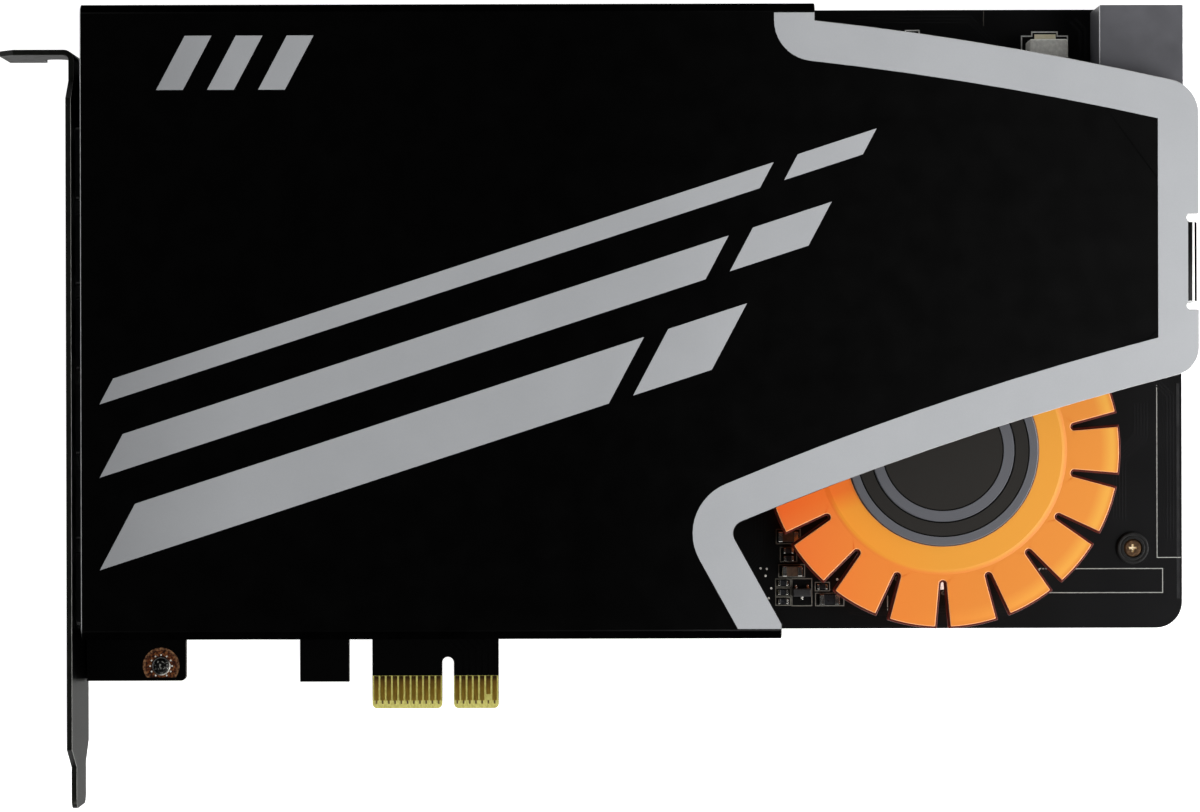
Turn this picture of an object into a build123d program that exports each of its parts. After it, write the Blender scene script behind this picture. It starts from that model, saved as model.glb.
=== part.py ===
from build123d import *
from math import cos, radians, sin, tan
import os

# The frame: X runs along the board away from the bracket, Y from the contact edge to the top edge,
# Z out of the component side. The origin lies on the key notch's centreline, on the insertion edge,
# at half the board's thickness. All lengths are in millimetres.

# Circuit board
board_thickness = 1.57
board_right = 118.05
board_top = 112.1
board_bottom = 12.7
board_corner = 4.2
board_gap = 0.3
foot_right = -42.1
foot_bottom = 4.56
foot_corner = 0.8
spacer_left = -23.78
spacer_width = 7.9
spacer_bottom = 4.34

# Contact edge
contact_pitch = 1.0
contact_width = 0.7
contact_end = 5.25
contact_thickness = 0.05
contacts_before_key = 11
contacts_after_key = 7
key_to_contact = 1.5
key_width = 1.9
key_depth = 8.3
edge_margin = 0.65
edge_corner = 0.75
bevel_length = 1.3
bevel_depth = 0.45

# Bracket
sheet = 0.86
bracket_inner_x = -58.35
top_past_screw = 7.0
bracket_height = 120.02
bracket_near = 14.2
bracket_width = 18.42
tongue_width = 10.19
tongue_inset = 5.0
tongue_tip = 1.6
tongue_length = 6.6
shoulder_run = 3.2
top_step = 3.3
step_before_screw = 0.9
top_step_run = 3.0
tab_reach = 12.1
tab_inset = 2.2
tab_bend = 1.6
tab_corner = 2.5
slot_radius = 2.21
slot_reach = 3.0
slot_depth = 5.4
lower_screw_y = 6.95
screw_past_jacks = 11.0
screw_x = -46.1
foot_margin = 0.3
foot_half_width = 4.2
joggle_start = 2.4
joggle_run = 2.4

# Bracket screws and their inserts in the board
shank_radius = 1.2
insert_inner = 1.25
insert_outer = 1.5
head_radius = 2.25
head_height = 1.45
recess_width = 0.7
recess_depth = 0.7
pad_radius = 2.95
pad_thickness = 0.04
pad_edge = 0.55

# Jacks behind the bracket
jack_count = 6
jack_first_y = 20.0
jack_pitch = 13.4
jack_width = 11.4
jack_depth = 14.3
jack_height = 11.4
jack_axis = 5.8
jack_nose = 4.1
jack_nose_out = 0.4
jack_bore = 1.8
jack_bore_depth = 15.0
nose_clearance = 0.35
strip_width = 1.5
strip_thickness = 0.3
strip_height = 7.4
pin_width = 0.8
pin_below = 1.4
pin_clearance = 0.12

# Shield cover
cover_height = 14.2
cover_sheet = 0.8
cover_bend = 1.5
cover_gap = 1.4
cover_overhang = 0.5
cover_top_inset = 0.3
cover_bottom_overhang = 0.74
flange_gap = 0.6
upper_flange_end = 58.4
lower_flange_end = 53.0
upper_edge_drop = 2.8
upper_edge_bow = 0.9
upper_corner_drop = 13.2
upper_corner = 5.5
lower_corner_rise = 42.14
lower_corner = 4.5
inner_corner_x = 44.6
inner_corner_rise = 17.54
inner_corner = 2.0
lower_edge_bow = 1.6
leg_rise = 2.34
end_tab_y = 71.0
end_tab_width = 12.6
end_tab_drop = 1.2
end_tab_inset = 0.12
relief_width = 1.2
relief_depth = 1.3

# Printed bands on the cover
print_thickness = 0.05
print_inset = 0.08
border_width = 6.4
bar_slope = 18.0
bar_cut = 62.0
bar_start = 3.0
bar_gap = 4.0
dash_length = 13.0
# Each bar's height at its start, its length and its width.
bars = ((23.0, 84.0, 8.2), (37.5, 100.0, 5.4), (49.0, 109.0, 3.2))
mark_count = 3
mark_start = 12.0
mark_step = 8.0
mark_width = 4.2
mark_height = 8.5
mark_drop = 13.5

# Cover standoffs and screws
standoff_flat = 5.0
standoff_hole = 1.3
standoff_hole_depth = 6.0
cover_shank = 1.2
cover_shank_depth = 5.0
cover_head_radius = 2.3
cover_head_height = 1.6
board_screw_hole = 1.4

# Light disc and hub
disc_x = 78.84
disc_y = 41.43
disc_radius = 27.98
disc_lift = 6.0
disc_thickness = 2.0
disc_lip = 0.36
disc_lip_thickness = 1.5
disc_step = 0.16
disc_step_run = 0.8
disc_step_radius = 19.35
slot_count = 18
slot_tip = 20.6
slot_tip_width = 1.25
slot_rim_width = 2.65
hub_radius = 15.14
hub_play = 0.1
hub_proud = 0.7
ring_depth = 0.5
ring_gap = 0.2
outer_ring_width = 1.58
ring_spacing = 2.02
inner_ring_width = 2.09
collar_inset = 1.98
collar_wall = 4.8
collar_ledge = 2.6
collar_flange_thickness = 1.0
collar_screw_count = 3
collar_shank = 0.95
collar_pilot = 1.0
collar_pilot_depth = 4.2
collar_shank_depth = 3.6
collar_head = 1.9
collar_head_height = 1.3
light_count = 8
light_circle = 21.0
light_turn = 1.7
light_length = 2.9
light_width = 0.8
light_height = 1.2
light_border = 0.2

# Power connector
power_right_inset = 1.25
power_width = 13.3
power_height = 10.5
power_depth = 12.8
power_edge_inset = 0.4
power_edge_round = 0.15
power_pitch = 4.2
power_cavity = 3.4
power_cavity_depth = 9.8
power_low_row = 3.1
power_pin = 1.14
power_pin_play = 0.06
power_pin_inset = 2.0
power_leg_back = 1.6
power_leg_step = 4.4
power_hole_play = 0.15
latch_width = 3.6
latch_drop = 1.1
latch_length = 4.2
latch_play = 0.4

# Front-panel header
header_columns = 5
header_pitch = 2.54
header_pin = 0.64
header_back_x = 11.5
header_pin_end = 1.2
header_y = 85.0
header_pin_play = 0.04
header_missing = 7

# Chips and other parts on the board
fine_pitch = 0.5
fine_lead = 0.22
fine_reach = 1.0
wide_pitch = 1.27
wide_lead = 0.42
wide_reach = 1.05
thin_chip_height = 1.4
processor_side = 10.0
processor_leads = 16
converter_side = 7.0
converter_leads = 12
amplifier_length = 10.3
amplifier_width = 7.5
amplifier_height = 2.3
amplifier_leads = 8
bridge_side = 9.0
bridge_height = 0.9
memory_length = 5.0
memory_width = 4.0
memory_height = 1.5
memory_leads = 4
relay_length = 15.0
relay_width = 7.4
relay_height = 9.4
relay_pitch = 2.54
relay_lead = 0.5
relay_reach = 0.9
relay_leads = 5
transistor_length = 2.9
transistor_width = 1.3
transistor_height = 1.0
transistor_pitch = 0.95
transistor_reach = 0.55
filter_radius = 4.0
filter_height = 11.5
coupling_radius = 3.15
coupling_height = 7.7
coupling_base = 1.0
film_length = 7.2
film_width = 3.0
film_height = 6.4
crystal_length = 11.2
crystal_width = 4.9
crystal_height = 3.6
crystal_rim = 0.4
inductor_side = 6.2
inductor_height = 5.0
inductor_corner = 0.4
inductor_terminal = 3.4
terminal_reach = 1.2
regulator_width = 6.6
regulator_depth = 6.1
regulator_height = 2.3
regulator_pitch = 2.28
small_length = 1.6
small_width = 0.85
resistor_height = 0.45
ceramic_height = 0.8
large_length = 3.2
large_width = 1.6
large_resistor_height = 0.6
large_ceramic_height = 1.3

# Corner screw
corner_screw_x = 110.1
corner_screw_y = 25.53
corner_shank = 0.95
corner_head = 1.45
corner_head_height = 0.5
corner_recess = 0.38
corner_nut = 2.0
corner_nut_height = 1.2
washer_play = 0.08
washer_width = 1.05
washer_height = 0.6

# Levels and edges that follow from the sizes above
face_z = board_thickness / 2
back_z = -board_thickness / 2
board_left = bracket_inner_x + board_gap
bracket_outer_x = bracket_inner_x - sheet
last_jack_y = jack_first_y + (jack_count - 1) * jack_pitch
upper_screw_y = last_jack_y + screw_past_jacks
bracket_top = upper_screw_y + top_past_screw
top_step_from = upper_screw_y - step_before_screw
top_step_to = top_step_from + top_step_run
bracket_near_z = face_z + bracket_near
bracket_far_z = bracket_near_z - bracket_width
edge_left = -key_to_contact - (contacts_before_key - 1) * contact_pitch - edge_margin
edge_right = key_to_contact + (contacts_after_key - 1) * contact_pitch + edge_margin
cover_top_z = face_z + cover_height
cover_under_z = cover_top_z - cover_sheet
cover_left = bracket_inner_x + cover_gap
cover_right = board_right + cover_overhang
cover_top = board_top - cover_top_inset
cover_bottom = board_bottom - cover_bottom_overhang
outer_ring_inner = hub_radius - outer_ring_width
inner_ring_outer = outer_ring_inner - ring_spacing
inner_ring_inner = inner_ring_outer - inner_ring_width
collar_outer = hub_radius - collar_inset
collar_inner = collar_outer - collar_wall
collar_flange = hub_radius + collar_ledge
collar_screw_circle = collar_outer - collar_wall / 2
disc_bottom_z = face_z + disc_lift
disc_top_z = disc_bottom_z + disc_thickness
power_x = board_right - power_right_inset - power_width / 2
power_front = board_top - power_edge_inset
power_back = power_front - power_depth
header_face_x = board_right - header_back_x + header_pitch

# Places of the cover's posts
standoff_places = [(-38.0, 104.0), (48.0, 104.5), (-36.0, 19.6), (36.0, 19.2), (108.6, 60.5)]


# Basic shapes
def block(x0, x1, y0, y1, z0, z1):
    return Pos((x0 + x1) / 2, (y0 + y1) / 2, (z0 + z1) / 2) * Box(x1 - x0, y1 - y0, z1 - z0)


def post(x, y, z0, z1, radius):
    return Pos(x, y, (z0 + z1) / 2) * Cylinder(radius, z1 - z0)


def prism_z(face, z0, z1):
    return extrude(Pos(0, 0, z0) * face, z1 - z0, dir=(0, 0, 1))


def prism_x(points, x0, x1):
    return extrude(Plane.YZ.offset(x0) * Polygon(*points), x1 - x0, dir=(1, 0, 0))


def prism_y(points, y0, y1):
    return extrude(Pos(0, y0, 0) * (Plane.XZ * Polygon(*points)), y1 - y0, dir=(0, 1, 0))


def rectangle(x0, x1, y0, y1):
    return Pos((x0 + x1) / 2, (y0 + y1) / 2) * Rectangle(x1 - x0, y1 - y0)


def turned(points, x, y):
    return Pos(x, y, 0) * revolve(Plane.XZ * Polygon(*points), Axis.Z)


def group(pieces):
    solids = []
    for piece in pieces:
        solids.extend(piece.solids())
    return Compound(solids)


def cross_recess(x, y, z, reach, depth, width=recess_width):
    # A cross cut into the face at height z, downwards for a negative depth.
    low, high = min(z, z + depth), max(z, z + depth)
    half = width / 2
    return block(x - reach, x + reach, y - half, y + half, low, high) + block(
        x - half, x + half, y - reach, y + reach, low, high)


# Jacks: one place for each, from the same row as the bracket's holes
def jack_rows():
    return [jack_first_y + index * jack_pitch for index in range(jack_count)]


jack_back_x = board_left + jack_depth
jack_axis_z = face_z + jack_axis
jack_nose_x = bracket_outer_x - jack_nose_out


def jack_strips(y):
    # Centre of each contact strip, and whether it lies along X or along Y.
    side = jack_width / 2 + strip_thickness / 2
    places = [(jack_back_x + strip_thickness / 2, y, "y")]
    for along in (0.3, 0.75):
        x = board_left + along * jack_depth
        places.append((x, y - side, "x"))
        places.append((x, y + side, "x"))
    return places


def jack_housing(y):
    half = jack_width / 2
    body = block(board_left, jack_back_x, y - half, y + half, face_z, face_z + jack_height)
    body = fillet(body.edges().filter_by(Axis.X).group_by(Axis.Z)[-1], 0.6)
    body = chamfer(body.faces().sort_by(Axis.X)[-1].edges().group_by(Axis.Z)[-1], 0.5)
    nose_length = board_left - jack_nose_x
    nose_middle = jack_nose_x + nose_length / 2
    nose = Pos(nose_middle, y, jack_axis_z) * Rot(0, 90, 0) * Cylinder(jack_nose, nose_length)
    nose = chamfer(nose.edges().group_by(Axis.X)[0], 0.35)
    bore_middle = jack_nose_x + jack_bore_depth / 2
    bore = Pos(bore_middle, y, jack_axis_z) * Rot(0, 90, 0) * Cylinder(jack_bore, jack_bore_depth)
    return body + nose - bore


def jack_ring(y):
    outer, inner, height = jack_nose * 0.8, jack_bore * 1.25, 0.15
    ring = Cylinder(outer, height) - Cylinder(inner, height)
    return Pos(jack_nose_x - height / 2, y, jack_axis_z) * Rot(0, 90, 0) * ring


def jack_contacts(y):
    strips = []
    for x, strip_y, along in jack_strips(y):
        blade_x = strip_width / 2 if along == "x" else strip_thickness / 2
        blade_y = strip_thickness / 2 if along == "x" else strip_width / 2
        leg_x = min(blade_x, pin_width / 2)
        leg_y = min(blade_y, pin_width / 2)
        blade = block(x - blade_x, x + blade_x, strip_y - blade_y, strip_y + blade_y,
                      face_z, face_z + strip_height)
        leg = block(x - leg_x, x + leg_x, strip_y - leg_y, strip_y + leg_y, back_z - pin_below, face_z)
        strips.append(blade + leg)
    return group(strips)


# Power connector
def power_columns():
    return [power_x + index * power_pitch for index in (-1, 0, 1)]


def power_legs():
    # Row height and leg line for the lower and the upper row of pins.
    low = (face_z + power_low_row, power_back - power_leg_back)
    high = (face_z + power_low_row + power_pitch, power_back - power_leg_back - power_leg_step)
    return [low, high]


def power_housing():
    left, right = power_x - power_width / 2, power_x + power_width / 2
    body = block(left, right, power_back, power_front, face_z, face_z + power_height)
    body = fillet(body.edges().filter_by(Axis.Y).group_by(Axis.Z)[-1], power_edge_round)
    body = chamfer(body.faces().sort_by(Axis.Y)[-1].edges().group_by(Axis.Z)[-1], power_edge_round)
    half_latch = latch_width / 2
    ramp = [(power_front - latch_length, face_z), (power_front, face_z),
            (power_front - 0.8, face_z - latch_drop), (power_front - 2.2, face_z - latch_drop)]
    body = body + prism_x(ramp, power_x - half_latch, power_x + half_latch)
    half = power_cavity / 2
    play = power_pin / 2 + power_pin_play
    for column in power_columns():
        for row, _ in power_legs():
            mouth = block(column - half, column + half, power_front - power_cavity_depth, power_front,
                          row - half, row + half)
            mouth = fillet(mouth.edges().filter_by(Axis.Y), 0.5)
            body = body - mouth
            body = body - block(column - play, column + play, power_back, power_front, row - play, row + play)
    return body


def power_pins():
    pins = []
    half = power_pin / 2
    tip = power_front - power_pin_inset
    for column in power_columns():
        for row, leg in power_legs():
            run = block(column - half, column + half, leg - half, tip, row - half, row + half)
            run = chamfer(run.faces().sort_by(Axis.Y)[-1].edges(), 0.25)
            drop = block(column - half, column + half, leg - half, leg + half, back_z - pin_below, row)
            pins.append(run + drop)
    return group(pins)


# Front-panel header
def header_places():
    # Row line along the board, pin height and leg line for each pin; one place stays empty as the key.
    places = []
    for column in range(header_columns):
        y = header_y + (column - (header_columns - 1) / 2) * header_pitch
        for row in range(2):
            if column * 2 + row != header_missing:
                z = face_z + header_pitch * (row + 0.5)
                leg = header_face_x - header_pitch - (0.6 + row) * header_pitch
                places.append((y, z, leg))
    return places


def header_base():
    half = header_columns * header_pitch / 2
    base = block(header_face_x - header_pitch, header_face_x, header_y - half, header_y + half,
                 face_z, face_z + 2 * header_pitch)
    for index in range(header_columns + 1):
        y = header_y - half + index * header_pitch
        for x in (header_face_x - header_pitch, header_face_x):
            base = base - Pos(x, y, face_z + header_pitch) * Rot(0, 0, 45) * Box(0.5, 0.5, 2 * header_pitch)
    play = header_pin / 2 + header_pin_play
    for y, z, _ in header_places():
        base = base - block(header_face_x - header_pitch, header_face_x,
                            y - play, y + play, z - play, z + play)
    return base


def header_pins():
    pins = []
    half = header_pin / 2
    for y, z, leg in header_places():
        run = block(leg - half, board_right - header_pin_end, y - half, y + half, z - half, z + half)
        run = chamfer(run.faces().sort_by(Axis.X)[-1].edges(), 0.15)
        drop = block(leg - half, leg + half, y - half, y + half, back_z - pin_below, z)
        pins.append(run + drop)
    return group(pins)


# Light disc places on the board
def around_disc(radius, count, start):
    places = []
    for index in range(count):
        turn = start + index * 360 / count
        angle = radians(turn)
        places.append((disc_x + radius * cos(angle), disc_y + radius * sin(angle), turn))
    return places


def collar_screw_places():
    return around_disc(collar_screw_circle, collar_screw_count, 30)


def ring_light_places():
    return around_disc(light_circle, light_count, light_turn)


# Circuit board
def board_holes():
    pin_hole = (pin_width ** 2 + strip_thickness ** 2) ** 0.5 / 2 + pin_clearance
    power_hole = power_pin * 2 ** 0.5 / 2 + power_hole_play
    header_hole = header_pin * 2 ** 0.5 / 2 + pin_clearance
    holes = []
    for row in jack_rows():
        holes += [(x, y, pin_hole) for x, y, _ in jack_strips(row)]
    for column in power_columns():
        holes += [(column, leg, power_hole) for _, leg in power_legs()]
    holes += [(leg, y, header_hole) for y, _, leg in header_places()]
    holes += [(x, y, board_screw_hole) for x, y in standoff_places]
    collar_hole = collar_shank + pin_clearance
    holes += [(x, y, collar_hole) for x, y, _ in collar_screw_places()]
    holes += [(screw_x, y, insert_outer) for y in (lower_screw_y, upper_screw_y)]
    holes.append((corner_screw_x, corner_screw_y, corner_shank + pin_clearance))
    return holes


def circuit_board():
    main = rectangle(board_left, board_right, board_bottom, board_top)
    main = fillet(main.vertices().sort_by_distance((board_right, board_bottom, 0))[0], board_corner)
    foot = rectangle(board_left, foot_right, foot_bottom, board_bottom + 1)
    foot = fillet(foot.vertices().sort_by_distance((foot_right, foot_bottom, 0))[0], foot_corner)
    spacer = rectangle(spacer_left, spacer_left + spacer_width, spacer_bottom, board_bottom + 1)
    edge = rectangle(edge_left, edge_right, 0, board_bottom + 1)
    edge = edge - rectangle(-key_width / 2, key_width / 2, 0, key_depth - key_width / 2)
    edge = edge - Pos(0, key_depth - key_width / 2) * Circle(key_width / 2)
    edge = fillet(edge.vertices().group_by(Axis.Y)[0], edge_corner)
    outline = main + foot + spacer + edge
    latch_half = latch_width / 2 + latch_play
    outline = outline - rectangle(power_x - latch_half, power_x + latch_half,
                                  power_front - latch_length - latch_play, board_top)
    for x, y, radius in board_holes():
        outline = outline - Pos(x, y) * Circle(radius)
    board = prism_z(outline, back_z, face_z)
    for side in (1, -1):
        bevel = [(0, side * face_z), (bevel_length, side * face_z), (0, side * (face_z - bevel_depth))]
        board = board - prism_x(bevel, edge_left, edge_right)
    return board


def edge_contacts(z0, z1, short_index):
    # The presence contact is the short one on each face.
    pads = []
    before = [-key_to_contact - index * contact_pitch for index in reversed(range(contacts_before_key))]
    after = [key_to_contact + index * contact_pitch for index in range(contacts_after_key)]
    for index, x in enumerate(before + after):
        start = bevel_length + (1.0 if index == short_index else 0.0)
        pads.append(block(x - contact_width / 2, x + contact_width / 2, start, contact_end, z0, z1))
    return group(pads)


def ground_pad():
    ring = Pos(screw_x, lower_screw_y) * (Circle(pad_radius) - Circle(insert_outer))
    ring = ring & rectangle(board_left, foot_right, foot_bottom + pad_edge, board_bottom + pad_radius)
    return prism_z(ring, face_z, face_z + pad_thickness)


# Bracket
def bracket_foot(y0, y1, hole_y):
    # A flange folded from the far edge, stepped up to the board's back face.
    end = foot_right - foot_margin
    step = bracket_inner_x + joggle_start
    under = back_z - sheet
    shift = 0.3 * sheet
    profile = [(bracket_outer_x, bracket_far_z), (step, bracket_far_z),
               (step + joggle_run, under), (end, under),
               (end, back_z), (step + joggle_run - shift, back_z), (step - shift, bracket_far_z + sheet),
               (bracket_outer_x, bracket_far_z + sheet)]
    foot = prism_y(profile, y0, y1)
    foot = fillet(foot.edges().filter_by(Axis.Z).group_by(Axis.X)[-1], 1.2)
    return foot - post(screw_x, hole_y, under - 1, back_z + 1, shank_radius + 0.15)


def bracket():
    tongue_near = bracket_near_z - tongue_inset
    tongue_far = tongue_near - tongue_width
    bottom = bracket_top - bracket_height
    shoulder_to = bottom + tongue_length
    shoulder_from = shoulder_to + shoulder_run
    bend_start = bracket_top - tab_bend
    profile = Polygon((bend_start, bracket_far_z + tab_inset), (bend_start, bracket_near_z - top_step),
                      (top_step_to, bracket_near_z - top_step), (top_step_from, bracket_near_z),
                      (shoulder_from, bracket_near_z), (shoulder_to, tongue_near), (bottom, tongue_near),
                      (bottom, tongue_far), (shoulder_to, tongue_far), (shoulder_from, bracket_far_z),
                      (top_step_from, bracket_far_z), (top_step_to, bracket_far_z + tab_inset))
    profile = fillet(profile.vertices().group_by(Axis.X)[0], tongue_tip)
    plate = extrude(Plane.YZ.offset(bracket_outer_x) * profile, sheet, dir=(1, 0, 0))
    for y in jack_rows():
        bit = Cylinder(jack_nose + nose_clearance, 4 * sheet)
        hole = Pos(bracket_outer_x, y, jack_axis_z) * Rot(0, 90, 0) * bit
        plate = plate - hole
    # The tab is folded outwards through a rounded bend.
    low, high = bracket_far_z + tab_inset, bracket_near_z - top_step
    tab_end = bracket_inner_x - tab_reach
    bend_x = bracket_inner_x - tab_bend
    outer = rectangle(bend_x, bracket_inner_x, bend_start, bracket_top)
    outer = fillet(outer.vertices().sort_by_distance((bracket_inner_x, bracket_top, 0))[0], tab_bend * 0.999)
    inner = rectangle(bend_x, bracket_outer_x, bend_start, bracket_top - sheet)
    inner_corner_place = (bracket_outer_x, bracket_top - sheet, 0)
    inner = fillet(inner.vertices().sort_by_distance(inner_corner_place)[0], tab_bend - sheet - 0.01)
    bend = prism_z(outer - inner, low, high)
    tab = block(tab_end, bend_x, bracket_top - sheet, bracket_top, low, high)
    tab = chamfer(tab.edges().filter_by(Axis.Y).group_by(Axis.X)[0].sort_by(Axis.Z)[-1], tab_corner)
    slot_x = bracket_outer_x - slot_reach
    slot_z = low + slot_depth - slot_radius
    tab = tab - block(slot_x - slot_radius, slot_x + slot_radius,
                      bracket_top - 2 * sheet, bracket_top + sheet, low, slot_z)
    tab = tab - Pos(slot_x, bracket_top, slot_z) * Rot(90, 0, 0) * Cylinder(slot_radius, 4 * sheet)
    lower_foot = bracket_foot(foot_bottom + 0.1, board_bottom, lower_screw_y)
    upper_foot = bracket_foot(upper_screw_y - foot_half_width, upper_screw_y + foot_half_width, upper_screw_y)
    return plate + bend + tab + lower_foot + upper_foot


def bracket_screw(y):
    under = back_z - sheet
    profile = [(0, under - head_height), (head_radius * 0.75, under - head_height),
               (head_radius, under - head_height * 0.5), (head_radius, under), (shank_radius, under),
               (shank_radius, face_z + 0.1), (shank_radius - 0.3, face_z + 0.35),
               (0, face_z + 0.35)]
    screw = turned(profile, screw_x, y)
    return screw - cross_recess(screw_x, y, under - head_height, head_radius * 0.55, recess_depth)


def insert_nut(y):
    sleeve = post(screw_x, y, back_z, face_z + 0.2, insert_outer)
    return sleeve - post(screw_x, y, back_z, face_z + 0.2, insert_inner)


# Shield cover
def face_behind_edge(left, low, high):
    # The face bounded by the free right-hand outline and by straight lines at the given limits.
    start = (upper_flange_end, cover_top - upper_edge_drop)
    end = (cover_right, cover_top - upper_corner_drop)
    upper_middle = ((start[0] + end[0]) / 2, (start[1] + end[1]) / 2 + upper_edge_bow)
    low_right = (cover_right, cover_bottom + lower_corner_rise)
    corner = (inner_corner_x, cover_bottom + inner_corner_rise)
    lower_middle = ((low_right[0] + corner[0]) / 2, (low_right[1] + corner[1]) / 2 + lower_edge_bow)
    leg = (lower_flange_end, cover_bottom + leg_rise)
    edges = [Line((left, low), (left, high)),
             Line((left, high), (upper_flange_end, high)),
             Line((upper_flange_end, high), start),
             ThreePointArc(start, upper_middle, end),
             Line(end, low_right),
             ThreePointArc(low_right, lower_middle, corner),
             Line(corner, leg),
             Line(leg, (lower_flange_end, low)),
             Line((lower_flange_end, low), (left, low))]
    face = make_face(edges)
    for place, radius in ((end, upper_corner), (low_right, lower_corner), (corner, inner_corner)):
        face = fillet(face.vertices().sort_by_distance((place[0], place[1], 0))[0], radius)
    return face


def cover_outline():
    # The flat face, up to the folds on the flanged stretches.
    return face_behind_edge(cover_left, cover_bottom + cover_bend, cover_top - cover_bend)


def end_tab_cut():
    # The folded stretch of the right edge with a round-ended relief at each side.
    half = end_tab_width / 2
    reach = half + relief_width
    cut = rectangle(cover_right - cover_bend - end_tab_inset, cover_right + 1,
                    end_tab_y - reach, end_tab_y + reach)
    for side in (1, -1):
        y = end_tab_y + side * (half + relief_width / 2)
        cut = cut + rectangle(cover_right - relief_depth, cover_right,
                              y - relief_width / 2, y + relief_width / 2)
        cut = cut + Pos(cover_right - relief_depth, y) * Circle(relief_width / 2)
    return cut


def fold(low):
    # Section of a fold: across from the face's edge at zero to the bend's outside, down to the given height.
    outer = rectangle(0, cover_bend, low, cover_top_z)
    outer = fillet(outer.vertices().sort_by_distance((cover_bend, cover_top_z, 0))[0], cover_bend * 0.999)
    inner = rectangle(0, cover_bend - cover_sheet, low, cover_under_z)
    inner = fillet(inner.vertices().sort_by_distance((cover_bend - cover_sheet, cover_under_z, 0))[0],
                   (cover_bend - cover_sheet) * 0.98)
    return outer - inner


def shield_cover():
    cover = prism_z(cover_outline() - end_tab_cut(), cover_under_z, cover_top_z)
    low = face_z + flange_gap
    upward = Plane(origin=(cover_left, cover_top - cover_bend, 0), x_dir=(0, 1, 0), z_dir=(1, 0, 0))
    cover = cover + extrude(upward * fold(low), upper_flange_end - cover_left, dir=(1, 0, 0))
    lower_start = (lower_flange_end, cover_bottom + cover_bend, 0)
    downward = Plane(origin=lower_start, x_dir=(0, -1, 0), z_dir=(-1, 0, 0))
    cover = cover + extrude(downward * fold(low), lower_flange_end - cover_left, dir=(-1, 0, 0))
    tab_start = (cover_right - cover_bend - end_tab_inset, end_tab_y + end_tab_width / 2, 0)
    outward = Plane(origin=tab_start, x_dir=(1, 0, 0), z_dir=(0, -1, 0))
    cover = cover + extrude(outward * fold(face_z + end_tab_drop), end_tab_width, dir=(0, -1, 0))
    return cover


# Printed bands: a border along the free outline, straight bars that end in a dash, and upright marks
def slanted_bar(x, y, length, width):
    along = Vector(cos(radians(bar_slope)), sin(radians(bar_slope)))
    rise = width / sin(radians(bar_cut - bar_slope))
    across = Vector(cos(radians(bar_cut)), sin(radians(bar_cut))) * rise
    first = Vector(x, y)
    corners = [first, first + along * length, first + along * length + across, first + across]
    return Polygon(*[(corner.X, corner.Y) for corner in corners])


def dashed_bar(y, length, width):
    # The dash follows the bar on the same line after a gap.
    x = cover_left + bar_start
    skip = length + bar_gap
    dash_x = x + skip * cos(radians(bar_slope))
    dash_y = y + skip * sin(radians(bar_slope))
    return slanted_bar(x, y, length, width) + slanted_bar(dash_x, dash_y, dash_length, width)


def upright_mark(x):
    low = cover_top - mark_drop
    lean = mark_height / tan(radians(bar_cut))
    high = low + mark_height
    return Polygon((x, low), (x + mark_width, low), (x + mark_width + lean, high), (x + lean, high))


def print_faces():
    field = offset(cover_outline(), -print_inset) - offset(end_tab_cut(), print_inset)
    beyond = border_width * 8
    whole = face_behind_edge(cover_left - beyond, cover_bottom - beyond, cover_top + beyond)
    faces = list((field - offset(whole, -border_width)).faces())
    for y, length, width in bars:
        faces += list((dashed_bar(y, length, width) & field).faces())
    for index in range(mark_count):
        faces += list((upright_mark(cover_left + mark_start + index * mark_step) & field).faces())
    return faces


def cover_print():
    return group([prism_z(face, cover_top_z, cover_top_z + print_thickness) for face in print_faces()])


# Cover standoffs and screws
def cover_standoff(x, y):
    face = Pos(x, y) * RegularPolygon(standoff_flat / 2, 6, major_radius=False)
    body = prism_z(face, face_z, cover_under_z)
    return body - post(x, y, face_z, face_z + standoff_hole_depth, standoff_hole)


def cover_screw(x, y):
    low = back_z - cover_head_height
    profile = [(0, low), (cover_head_radius * 0.72, low), (cover_head_radius, low + cover_head_height * 0.55),
               (cover_head_radius, back_z), (cover_shank, back_z), (cover_shank, face_z + cover_shank_depth),
               (0, face_z + cover_shank_depth)]
    return turned(profile, x, y) - cross_recess(x, y, low, cover_head_radius * 0.55, recess_depth)


# Light disc, hub and collar
def disc_slot(angle, grow):
    # The slot between two segments that stand out by the given growth all round.
    tip = slot_tip + slot_tip_width / 2
    rim = disc_radius + 1
    half_tip, half_rim = slot_tip_width / 2 - grow, slot_rim_width / 2 - grow
    face = Polygon((tip, -half_tip), (rim, -half_rim), (rim, half_rim), (tip, half_tip))
    face = face + Pos(tip, 0) * Circle(half_tip)
    return Rot(0, 0, angle) * face


def slotted_ring(grow):
    ring = Circle(disc_radius + grow) - Circle(hub_radius + hub_play)
    for index in range(slot_count):
        ring = ring - disc_slot(90 + index * 360 / slot_count, grow)
    return ring


def light_disc():
    # The lower part stands out as a lip all round the upper one. The inner ring rises on a gentle slope.
    lip_top = disc_bottom_z + disc_lip_thickness
    disc = prism_z(slotted_ring(disc_lip), disc_bottom_z, lip_top)
    disc = disc + prism_z(slotted_ring(0), lip_top, disc_top_z)
    inner = hub_radius + hub_play
    step_top = disc_top_z + disc_step
    step = [(inner, disc_top_z), (disc_step_radius + disc_step_run / 2, disc_top_z),
            (disc_step_radius - disc_step_run / 2, step_top), (inner, step_top)]
    return Pos(disc_x, disc_y, 0) * disc + turned(step, disc_x, disc_y)


def hub_cap():
    top = disc_top_z + hub_proud
    groove = top - ring_depth
    profile = [(0, disc_bottom_z), (hub_radius, disc_bottom_z), (hub_radius, groove),
               (outer_ring_inner, groove), (outer_ring_inner, top), (inner_ring_outer, top),
               (inner_ring_outer, groove), (inner_ring_inner, groove),
               (inner_ring_inner, top), (0, top)]
    return turned(profile, disc_x, disc_y)


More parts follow.
